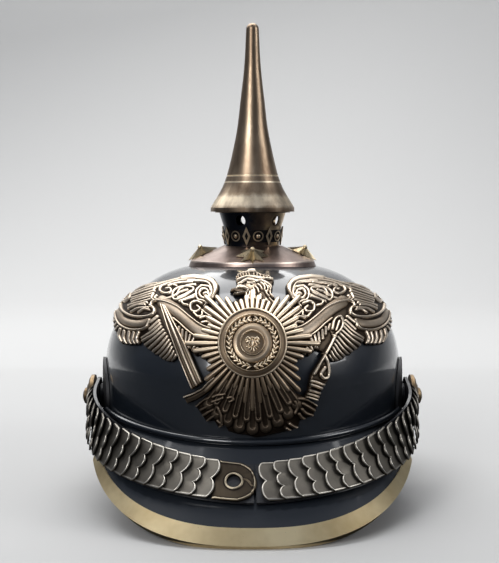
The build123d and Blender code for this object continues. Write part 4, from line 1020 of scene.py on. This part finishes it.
# %% Sword and sceptre reliefs
blade_form = {"ground": 3.6, "swell": 0.4, "soften": 2.0, "rim": 3.1, "ground_tone": 0.42, "tone_scale": 0.85}
guard_form = {"ground": 3.4, "swell": 1.0, "soften": 3.0, "rim": 2.4, "ground_tone": 0.22, "tone_scale": 0.85}
rod_form = {"ground": 3.0, "swell": 0.8, "soften": 3.0, "rim": 2.4}
rod_head_form = {"ground": 3.4, "swell": 0.8, "soften": 3.0, "rim": 2.8}
for name, lines, form in (
    ("sword", drawing(SWORD_OUTLINE, SWORD_STROKES, WING_SHEET), blade_form),
    ("sword_guard", drawing(GUARD_OUTLINE, GUARD_STROKES, WING_SHEET), guard_form),
    ("sceptre", drawing(SCEPTRE_OUTLINE, SCEPTRE_STROKES, TAIL_SHEET), rod_form),
    ("sceptre_head", (SHAFT_OUTLINE, SHAFT_STROKES), rod_head_form),
):
    plate_relief(name, *lines, step=0.3, foot=0.3, **form)

# %% [markdown]
# ## The star
# Forty-eight separate rays stand round a disc, longest on the eight points. Each ray is a strip
# with a round back and a rounded tip; modelling them singly keeps the dark gaps between them.

# %% One ray
RAYS, RAYS_PER_POINT = 48, 6
RAY_TURN = 360 / RAYS
RAY_REACH = {0: 67.0, 1: 59.5, 2: 52.5, 3: 48.0}
NECK_REACH = {0: 53.0, 1: 48.0, 2: 45.0, 3: 44.5}
RAY_FOOT, RAY_HALF_WIDTH, RAY_FILL = 34.0, 2.75, 0.93
TIP_LENGTH, TIP_BEND = 3.0, 2.4
RAY_LIFT, RAY_FALL, RAY_RISE, FULL_RISE_HALF_WIDTH = 2.7, 1.1, 1.5, 1.6
RAY_SHAFT_STEPS, RAY_TIP_STEPS, RAY_CROSS_STEPS = 18, 8, 11


def ray_reach(ray):
    """How far a ray goes: longest on the eight points, and cut short under the eagle's neck."""
    order = ray % RAYS_PER_POINT
    reach = RAY_REACH[min(order, RAYS_PER_POINT - order)]
    return min(reach, NECK_REACH.get(min(ray, RAYS - ray), reach))


def ray_strip(ray):
    """Points and tones of one ray, from its foot under the medallion to its round tip."""
    reach, turn = ray_reach(ray), math.radians(RAY_TURN * ray)
    shaft = np.linspace(RAY_FOOT, reach - TIP_LENGTH, RAY_SHAFT_STEPS)
    tip = reach - TIP_LENGTH + TIP_LENGTH * np.sin(np.linspace(0.1, 1, RAY_TIP_STEPS) * math.pi / 2)
    along = np.concatenate([shaft, tip])
    across = np.linspace(-1, 1, RAY_CROSS_STEPS)
    half = np.minimum(0.5 * math.radians(RAY_TURN) * along * RAY_FILL, RAY_HALF_WIDTH)
    bend = round_back(np.clip((along - reach + TIP_BEND) / TIP_BEND, 0, 1))
    half = half * np.where(along > reach - TIP_BEND, bend, 1.0)
    u = STAR_U + along[:, None] * math.sin(turn) + half[:, None] * across * math.cos(turn)
    v = STAR_V - along[:, None] * math.cos(turn) + half[:, None] * across * math.sin(turn)
    back = np.power(round_back(np.abs(across)), 0.9)[None, :]
    fall = np.linspace(RAY_FALL, 0.0, len(along))[:, None]
    lift = RAY_LIFT + fall + RAY_RISE * back * np.clip(half / FULL_RISE_HALF_WIDTH, 0.1, 1)[:, None]
    # Painted light: rays are brightest at the top of the star and darker towards its bottom; each ray is
    # bright along its back and dark at its edges, partly wear and partly painted highlight and shade.
    painted_top_light = 0.80 + 0.20 * math.cos(turn)
    return on_skull(u, v, lift), np.repeat(painted_top_light * (0.06 + 0.78 * back), len(along), 0)


print("rays:", RAYS, "reaches:", sorted({ray_reach(ray) for ray in range(RAYS)}))

# %% [markdown]
# A dark ring lies under the rays as painted shadow in the gaps between them, so that nothing bright shows
# there. Rays and ring are grids of points, and one function puts all the grids into one mesh.

# %% Star
RING_REACH, RING_LIFT, RING_SHADE_TONE = (26, 46, 14), 2.9, 0.02
points, faces, tones = [], [], []
total = 0
for ray in range(RAYS):
    strip, strip_tones = ray_strip(ray)
    faces.append(grid_faces(total + np.arange(strip_tones.size).reshape(strip_tones.shape)))
    points.append(strip.reshape(-1, 3))
    tones.append(strip_tones.reshape(-1))
    total += strip_tones.size
rings, turns = np.meshgrid(np.linspace(*RING_REACH), np.radians(np.arange(0, 360, 2.5)), indexing="ij")
ring_points = on_skull(STAR_U + rings * np.sin(turns), STAR_V - rings * np.cos(turns), RING_LIFT)
faces.append(grid_faces(total + np.arange(rings.size).reshape(rings.shape), closed=True))
points.append(ring_points.reshape(-1, 3))
tones.append(np.full(rings.size, RING_SHADE_TONE))
shape = np.vstack(points), np.vstack(faces), np.concatenate(tones)
star = mesh_object("guard_star_relief", *shape, star_brass)
piece(star, "helmet", "aged_brass", "guard_star")

# %% [markdown]
# ## The medallion
# The boss is turned: a rolled rim, a sloping band, a bright ring, a sunk channel, a raised band
# and a small field. A laurel wreath fills the channel and a small bird with open wings the field.
# Its profile, as (reach, lift), is swept round, and leaves and limbs are then raised on it.

# %% Medallion ground
MEDALLION_PROFILE = [
    (0, 5.3), (10.2, 5.0), (10.8, 5.4), (11.5, 6.2), (12.2, 5.7), (12.8, 5.5), (15.5, 5.8), (18.4, 5.5),
    (19.0, 5.2), (19.8, 4.7), (25.6, 4.7), (26.2, 5.2), (26.9, 6.2), (27.6, 5.9), (28.3, 5.3), (31.6, 4.9),
    (32.2, 5.4), (33.0, 5.7), (33.8, 5.3), (34.3, 3.6),
]
MEDALLION_RINGS, MEDALLION_TURN = 105, 0.9
profile_reach, profile_lift = np.array(MEDALLION_PROFILE).T
even_rings = np.linspace(0.3, profile_reach[-1], MEDALLION_RINGS)
rings = np.unique(np.concatenate([[0.01], even_rings, profile_reach[1:]]))
ring_grid, turn_grid = np.meshgrid(rings, np.radians(np.arange(0, 360, MEDALLION_TURN)), indexing="ij")
flat_u, flat_v = ring_grid * np.sin(turn_grid), -ring_grid * np.cos(turn_grid)
medallion_ground = np.interp(ring_grid, profile_reach, profile_lift)
print("medallion grid:", ring_grid.shape)

# %% [markdown]
# Each step of the wreath is an outer leaf, an inner leaf and a berry. The bird is listed for one
# side only, and a loop mirrors it.

# %% Wreath and bird
LEAVES, FIRST_LEAF, LEAF_TURN, LEAF_TAPER = 15, 8, 11.6, 0.75
WREATH = [
    (1.15, 1.25, ((22.6, 4.0), (25.2, -4.5)), True),
    (1.15, 1.25, ((22.4, 2.0), (20.4, -8.0)), True),
    (0.7, 1.0, ((22.8, -6.0), (22.8, -6.4)), False),
]
LIMBS = [
    (1.7, 1.3, [(0, -2.5), (0, 3.2)]), (1.0, 1.2, [(0, -5.2), (0.4, -4.6)]),
    (0.7, 0.9, [(0.8, -5.2), (1.9, -4.7)]),
    (1.0, 1.1, [(1.4, -2.4), (4.6, -5.6)]), (0.9, 1.0, [(4.6, -5.6), (7.0, -2.4)]),
    (0.9, 1.0, [(1.8, -1.4), (5.8, -0.8)]),
    (0.8, 0.9, [(4.2, -3.6), (6.4, 0.6)]), (0.8, 0.9, [(2.6, -1.0), (4.4, 2.6)]),
    (0.8, 0.9, [(1.2, 3.4), (4.2, 6.4)]),
    (0.8, 0.9, [(0.6, 4.2), (1.6, 8.2)]), (0.7, 0.8, [(2.2, 2.6), (6.2, 4.4)]),
]


def around(reach, degrees):
    """A point of the medallion by its reach and its turn from the top."""
    return reach * math.sin(math.radians(degrees)), -reach * math.cos(math.radians(degrees))


def stamped(lift, width, rise, points, taper=True):
    """The medallion's surface with one leaf or limb raised over its ground."""
    start, end = np.array(points, float)
    gap, along = segment_distance(flat_u, flat_v, start, end)
    reach = width * (np.sqrt(np.clip(1 - (2 * along - 1) ** 2 * LEAF_TAPER, 0, 1)) if taper else 1.0)
    raised = rise * round_back(np.clip(gap / reach, 0, 1)) * (gap < reach)
    return np.maximum(lift, medallion_ground + raised)


lift = medallion_ground
for side in (-1, 1):
    for leaf in range(LEAVES):
        turn = 180 - (FIRST_LEAF + leaf * LEAF_TURN)
        for width, rise, ends, taper in WREATH:
            points = [around(reach, side * (turn + more)) for reach, more in ends]
            lift = stamped(lift, width, rise, points, taper)
for width, rise, points in LIMBS:
    for side in (1, -1):
        lift = stamped(lift, width, rise, [(side * x, y) for x, y in points])
print("highest point of the medallion:", lift.max().round(2), "mm")

# %% [markdown]
# The rims are the brightest, partly wear and partly painted highlight, then the leaves and limbs, and the
# channel between the leaves is dark, partly patina and partly painted shade.

# %% Medallion relief
BRIGHT_RIMS = [(33.3, 0.7), (26.9, 0.6), (11.5, 0.6)]
CHANNEL, CHANNEL_DEPTH = (19.4, 25.9), 0.15
soft_profile = np.convolve(np.pad(profile_lift, 1, mode="edge"), [0.25, 0.5, 0.25], "valid")
edge = lift - np.interp(ring_grid, profile_reach, soft_profile)
raised = lift - medallion_ground
rims = sum(np.exp(-(((ring_grid - middle) / width) ** 2)) for middle, width in BRIGHT_RIMS)
channel = (ring_grid > CHANNEL[0]) & (ring_grid < CHANNEL[1]) & (raised < CHANNEL_DEPTH)
tones = np.clip(0.46 + 0.42 * rims + edge + raised * 0.32 - 0.24 * channel, 0.02, 1).reshape(-1)
points = on_skull(STAR_U + flat_u, STAR_V + flat_v, lift).reshape(-1, 3)
faces = grid_faces(np.arange(ring_grid.size).reshape(ring_grid.shape), closed=True)
medallion = mesh_object("medallion_relief", points, faces, tones, star_brass)
piece(medallion, "helmet", "aged_brass", "medallion")

# %% [markdown]
# ## Chinscales
# The chinstrap is leather under overlapping brass scales. Each row is square behind and lobed in front,
# rows of two and three lobes alternate, and each lobe has a raised rim painted bright, partly as wear and
# partly as a painted highlight.
# The rows follow the strap, so its path comes first: a rounded bow from the side posts to the
# front, which sinks and leans outwards on its way.

# %% The strap's path
POST_SIDE, POST_FORWARD, STRAP_REACH = 98.8, 34.0, 101.7
STRAP_FRONT_HEIGHT, STRAP_FALL, STRAP_STRAIGHT, STRAP_LEAN = 28.4, 27.0, 14.0, 45.7
BOW_POWER, FALL_POWER, LEAN_POWER = 2 / 2.2, 0.68, 1.4
WALK_TURN, LOOK_TURN, BOW_MEASURES = 0.25, 0.5, 60


def strap_point(turn):
    """The strap's inner face at a turn from the post, in millimetres."""
    turn = math.radians(turn)
    forward = math.sin(turn) ** BOW_POWER
    across = math.copysign(abs(math.cos(turn)) ** BOW_POWER, math.cos(turn))
    height = STRAP_FRONT_HEIGHT + STRAP_FALL * max(1 - forward, 0) ** FALL_POWER
    return np.array((-POST_SIDE * across, -POST_FORWARD - STRAP_REACH * forward, height))


def strap_frame(length):
    """Origin and axes (forward, up, out) of the strap at a length from the post."""
    turn, walked, before = 0.0, STRAP_STRAIGHT, strap_point(0)
    while walked < length:
        turn += WALK_TURN
        here = strap_point(turn)
        walked += np.linalg.norm(here - before)
        before = here
    along = strap_point(turn + LOOK_TURN) - strap_point(max(turn - LOOK_TURN, 0))
    if turn == 0:
        along[0] = 0
    along /= np.linalg.norm(along)
    lean = math.radians(STRAP_LEAN) * math.sin(math.radians(turn)) ** LEAN_POWER
    flat = np.array((along[1], -along[0], 0)) / math.hypot(along[0], along[1])
    out = flat * math.cos(lean) + np.array((0, 0, math.sin(lean)))
    out = out - along * (out @ along)
    out /= np.linalg.norm(out)
    origin = strap_point(turn) + along * min(length - STRAP_STRAIGHT, 0)
    return origin, along, np.cross(out, along), out


walk = [strap_point(90 * step / BOW_MEASURES) for step in range(BOW_MEASURES + 1)]
FULL_STRAP = STRAP_STRAIGHT + sum(np.linalg.norm(b - a) for a, b in zip(walk, walk[1:]))
print("half strap:", round(FULL_STRAP, 1), "mm")

# %% [markdown]
# A row is a grid of points whose front edge follows its lobes. Towards that edge each lobe swells
# and ends in a rim, and a wall goes down from the three free edges, so the row has a thickness.

# %% One scale row
ROW_WIDTH, ROW_LENGTH, LOBE_DEPTH = 24.0, 12.0, 3.2
ROW_STEPS, LOBE_STEPS = 16, 16
SCALE_WALL, SCALE_SWELL, RIM_INSET, RIM_HALF_WIDTH, RIM_RISE = 0.55, 0.55, 0.55, 0.45, 0.32


def scale_row(lobes):
    """Points (forward, up, out), faces and tones of one row of scales."""
    chord = ROW_WIDTH / lobes
    bend = (chord * chord / 4 + LOBE_DEPTH * LOBE_DEPTH) / (2 * LOBE_DEPTH)
    across = np.linspace(-ROW_WIDTH / 2, ROW_WIDTH / 2, lobes * LOBE_STEPS + 1)
    in_lobe = np.mod(across + ROW_WIDTH / 2, chord) - chord / 2
    tip = ROW_LENGTH - bend + np.sqrt(np.maximum(bend * bend - in_lobe * in_lobe, 0))
    share = 1 - (1 - np.linspace(0, 1, ROW_STEPS)) ** 1.8
    forward = share[:, None] * tip[None, :]
    side = np.broadcast_to(across, forward.shape)
    bow = 1 - (2 * np.broadcast_to(in_lobe, forward.shape) / chord) ** 2
    to_edge = np.minimum(tip[None, :] - forward, ROW_WIDTH / 2 - np.abs(side))
    rim = np.exp(-(((to_edge - RIM_INSET) / RIM_HALF_WIDTH) ** 2))
    swell = SCALE_SWELL * bow * np.clip(forward / ROW_LENGTH, 0, 1) ** 1.5
    height = SCALE_WALL + swell + RIM_RISE * rim - 0.45 * np.exp(-to_edge / 0.12)
    # Painted light: the rim is bright, partly wear and partly painted highlight; the back of each row,
    # where the row before lies over it, is darkened as painted shadow, and the free edges are slightly
    # darker.
    tones = 0.36 + 0.62 * rim - 0.10 * np.clip(1.8 - to_edge, 0, 0.6) - 0.25 * np.exp(-forward / 3.5)
    tones = np.clip(tones, 0.03, 1).reshape(-1)
    points = np.stack([forward, side, height], -1).reshape(-1, 3)
    grid = np.arange(forward.size).reshape(forward.shape)
    faces = [grid_faces(grid)]
    for line, turned in ((grid[-1, :], False), (grid[:, 0], False), (grid[:, -1], True)):
        wall = grid_faces(np.stack([line, len(points) + np.arange(len(line))]))
        faces.append(wall[:, ::-1] if turned else wall)
        points = np.vstack([points, points[line] * (1, 1, 0)])
        tones = np.concatenate([tones, np.full(len(line), WALL_SHADE_TONE)])
    return points, np.vstack(faces), tones


print("points of a row:", [len(scale_row(lobes)[0]) for lobes in (2, 3)])

# %% [markdown]
# Each row is tilted, so that its lobes lie on the row in front of it. The strap's frame at each
# place carries the row there, and the right half is the left one mirrored, though a little longer.

# %% All rows
ROW_SPACING, ROWS_START, ROW_LIFT, ROW_TILT_RISE = 8.4, 9.4, 2.3, 2.0
LEFT_END_GAP, RIGHT_END_GAP = 19.0, 4.0


def scale_strap(name, end_length, flip):
    """All rows of one side, each lifted at its lobes over the next."""
    count = int((end_length - ROWS_START - ROW_LENGTH) / ROW_SPACING) + 1
    first = end_length - ROW_LENGTH - ROW_SPACING * (count - 1)
    tilt = math.atan2(ROW_TILT_RISE, ROW_LENGTH)
    all_points, all_faces, all_tones = [], [], []
    total = 0
    for step in range(count):
        origin, along, up, out = strap_frame(first + ROW_SPACING * step)
        points, faces, tones = scale_row(2 + step % 2)
        forward = points[:, 0] * math.cos(tilt) - points[:, 2] * math.sin(tilt)
        height = ROW_LIFT + points[:, 0] * math.sin(tilt) + points[:, 2] * math.cos(tilt)
        placed = origin + forward[:, None] * along + points[:, 1:2] * up + height[:, None] * out
        all_points.append(placed * MM)
        all_faces.append(faces + total)
        all_tones.append(tones)
        total += len(points)
    shape = np.vstack(all_points), np.vstack(all_faces), np.concatenate(all_tones)
    return mesh_object(name, *shape, scale_brass, flip)


left_scales = scale_strap("left_scale_rows", FULL_STRAP - LEFT_END_GAP, False)
right_scales = scale_strap("right_scale_rows", FULL_STRAP - RIGHT_END_GAP, True)
piece(left_scales, "left_strap", "grey_brass", "left_chinscales")
piece(right_scales, "right_strap", "grey_brass", "right_chinscales")

# %% [markdown]
# ## The tongue
# The left half ends in a rounded plate with a round hole, rolled at its edge and round the hole.
# The plate bends with the strap, so its sheet is laid on it, and its root lies under the last scales.

# %% Tongue
TONGUE_END, TONGUE_ROOT, TONGUE_HALF_WIDTH = FULL_STRAP + 2.2, -13.0, 12.0
TONGUE_MIDDLE, TONGUE_BEND, TONGUE_TIP, TONGUE_SWEEP = -2.8, 12.3, 9.5, 1.35
HOLE_MIDDLE, HOLE_RADIUS, HOLE_RIM_RADIUS = -3.1, 4.0, 4.6
ROLL_INSET, ROLL_SHARE = 0.7, 0.95
PRESSED_MARK = [(1.0, -1.6), (4.0, -1.2), (6.6, 2.2)]
TONGUE_LENGTHS = np.arange(TONGUE_END - 24, TONGUE_END + 3, 0.5)
TONGUE_FRAMES = np.array([strap_frame(length) for length in TONGUE_LENGTHS])


def on_strap(u, v, lift):
    """Points of the tongue's sheet (forward, down) laid on the strap, in metres."""
    length = u + TONGUE_END - TONGUE_TIP
    origin, _, up, out = (
        np.stack([np.interp(length, TONGUE_LENGTHS, TONGUE_FRAMES[:, part, axis]) for axis in range(3)], -1)
        for part in range(4)
    )
    return (origin - v[..., None] * up + lift[..., None] * out) * MM


def arc(middle, radius, turns):
    """Points of an arc about a middle on the tongue's own line."""
    return [(middle + radius * math.cos(turn), radius * math.sin(turn)) for turn in turns]


bend = arc(TONGUE_MIDDLE, TONGUE_BEND, np.linspace(-TONGUE_SWEEP, TONGUE_SWEEP, 25))
TONGUE_OUTLINE = [(TONGUE_ROOT, -TONGUE_HALF_WIDTH), *bend, (TONGUE_ROOT, TONGUE_HALF_WIDTH)]
rolled = [(x - ROLL_INSET, y * ROLL_SHARE) for x, y in TONGUE_OUTLINE]
ring = arc(HOLE_MIDDLE, HOLE_RIM_RADIUS, np.linspace(0, 2 * math.pi, 25))
TONGUE_STROKES = [(0.8, 0.6, rolled), (0.8, 0.7, ring), (0.7, 0.35, PRESSED_MARK)]
tongue = relief_sheet(
    "tongue_relief", TONGUE_OUTLINE, TONGUE_STROKES, tongue_brass,
    ground=3.0, swell=0.15, soften=3.0, rim=2.9, step=0.2, foot=2.1,
    hidden=lambda u, v: np.hypot(u - HOLE_MIDDLE, v) < HOLE_RADIUS, place=on_strap,
)
piece(tongue, "left_strap", "grey_brass", "strap_tongue")

# %% [markdown]
# ## Stage, light and camera
# A pale sweep of paper runs from under the helmet up behind it, so there is no horizon. A large
# soft light hangs above and to the left, weaker ones stand in front and on the right, and one
# behind the helmet lights the paper alone.

# %% Stage
PAPER_HALF_WIDTH, PAPER_FRONT, PAPER_TURN, PAPER_TOP = 6.0, -4.0, 1.2, 5.0
sweep = [(PAPER_FRONT, 0.0), (PAPER_TURN, 0.0)]
for turn in np.radians(np.arange(5, 91, 5)):
    sweep.append((PAPER_TURN * (1 + math.sin(turn)), PAPER_TURN * (1 - math.cos(turn))))
sweep.append((2 * PAPER_TURN, PAPER_TOP))
points = [(x, y, z) for y, z in sweep for x in (-PAPER_HALF_WIDTH, PAPER_HALF_WIDTH)]
faces = [(2 * k, 2 * k + 1, 2 * k + 3, 2 * k + 2) for k in range(len(sweep) - 1)]
mesh = bpy.data.meshes.new("paper_sweep")
mesh.from_pydata(points, [], faces)
mesh.shade_smooth()
paper, tree, shader = material("paper", (0.52, 0.518, 0.51), 0.0, 0.9)
mesh.materials.append(paper)
floor = bpy.data.objects.new("paper_sweep", mesh)
bpy.context.scene.collection.objects.link(floor)
print("paper faces:", len(mesh.polygons))

# %% [markdown]
# The lights are large squares, since brass and lacquer show a light's shape as well as its colour.

# %% Lights: name, place, aim, size and power
LIGHTS = [
    ("top_light", (-0.35, 0.75, 1.5), (0.0, 0.0, 0.1), 2.0, 30.0),
    ("front_light", (-0.9, -1.6, 1.0), (0.0, 0.0, 0.12), 0.7, 16.0),
    ("right_light", (1.5, -0.5, 0.8), (0.0, 0.0, 0.1), 0.7, 7.0),
    ("back_light", (0.0, 0.7, 2.3), (0.0, 2.4, 1.0), 2.4, 44.0),
]


def soft_light(name, place, aim, size, power):
    """A square soft light that points at a place."""
    bpy.ops.object.light_add(type="AREA", location=place)
    light = bpy.context.object
    light.name = name
    light.data.shape = "SQUARE"
    light.data.size = size
    light.data.energy = power
    x, y, z = np.array(aim) - np.array(place)
    light.rotation_euler = (math.atan2(math.hypot(x, y), -z), 0.0, math.atan2(y, x) - math.pi / 2)


for values in LIGHTS:
    soft_light(*values)

# %% [markdown]
# Gloss shows whatever stands round it. The room in front of the helmet is dark, so a dark cloth
# lies on the floor there for reflections only, and the world darkens towards the horizon.

# %% Dark surroundings for the reflections
bpy.ops.mesh.primitive_plane_add(size=1.0, location=(0.0, -1.45, 0.002))
cloth = bpy.context.object
cloth.name = "dark_cloth"
cloth.scale = (5.0, 3.9, 1.0)
black, tree, shader = material("dark_cloth", (0.02, 0.022, 0.026), 0.0, 1.0)
cloth.data.materials.append(black)
for ray in ("camera", "diffuse", "shadow", "transmission", "volume_scatter"):
    setattr(cloth, "visible_" + ray, False)
print("cloth size:", list(cloth.scale)[:2], "m")

# %% [markdown]
# The world is what the gloss reflects above the cloth. The camera itself sees a plain pale grey.

# %% World
WORLD_TONES = [
    (0.0, (0.020, 0.022, 0.028)), (0.50, (0.035, 0.040, 0.052)),
    (0.66, (0.11, 0.125, 0.155)), (1.0, (0.20, 0.22, 0.26)),
]
SEEN_WORLD = (0.74, 0.74, 0.74, 1.0)
world = bpy.data.worlds.new("studio")
bpy.context.scene.world = world
world.use_nodes = True
tree = world.node_tree
background = tree.nodes["Background"]
direction = add(tree, "ShaderNodeTexCoord")
apart = add(tree, "ShaderNodeSeparateXYZ")
shades = ramp(tree, WORLD_TONES)
seen = add(tree, "ShaderNodeLightPath")
choice = add(tree, "ShaderNodeMix", data_type="RGBA", sockets={7: SEEN_WORLD})
join(tree, direction.outputs["Generated"], apart.inputs[0])
join(
    tree,
    ranged(tree, apart.outputs["Z"], -1.0, 1.0, 0.0, 1.0), shades.inputs["Fac"],
    seen.outputs["Is Camera Ray"], choice.inputs["Factor"],
    shades.outputs["Color"], choice.inputs[6],
    choice.outputs[2], background.inputs["Color"],
)
background.inputs["Strength"].default_value = 1.0
print("world:", len(tree.nodes), "nodes")

# %% [markdown]
# The camera is the sheet's own eye: it stands level in front of the helmet, a little above its
# crown, and the view is shifted down to frame it. Lens and shift follow from the sheet, rounded to
# the digits that the camera's panel shows.

# %% Camera
IMAGE_WIDTH, IMAGE_HEIGHT = 499, 563
bpy.ops.object.camera_add(location=tuple(EYE * MM), rotation=(math.pi / 2, 0.0, 0.0))
camera = bpy.context.object
camera.data.lens = round(camera.data.sensor_width * FOCAL / IMAGE_HEIGHT, 2)
camera.data.shift_x = round((IMAGE_WIDTH / 2 - SHEET_MIDDLE) / IMAGE_HEIGHT, 4)
camera.data.shift_y = round((SHEET_EYE_LINE - IMAGE_HEIGHT / 2) / IMAGE_HEIGHT, 4)
bpy.context.scene.camera = camera
bpy.context.scene.view_settings.view_transform = "Standard"
print("lens:", camera.data.lens, "mm, shift:", camera.data.shift_x, camera.data.shift_y)
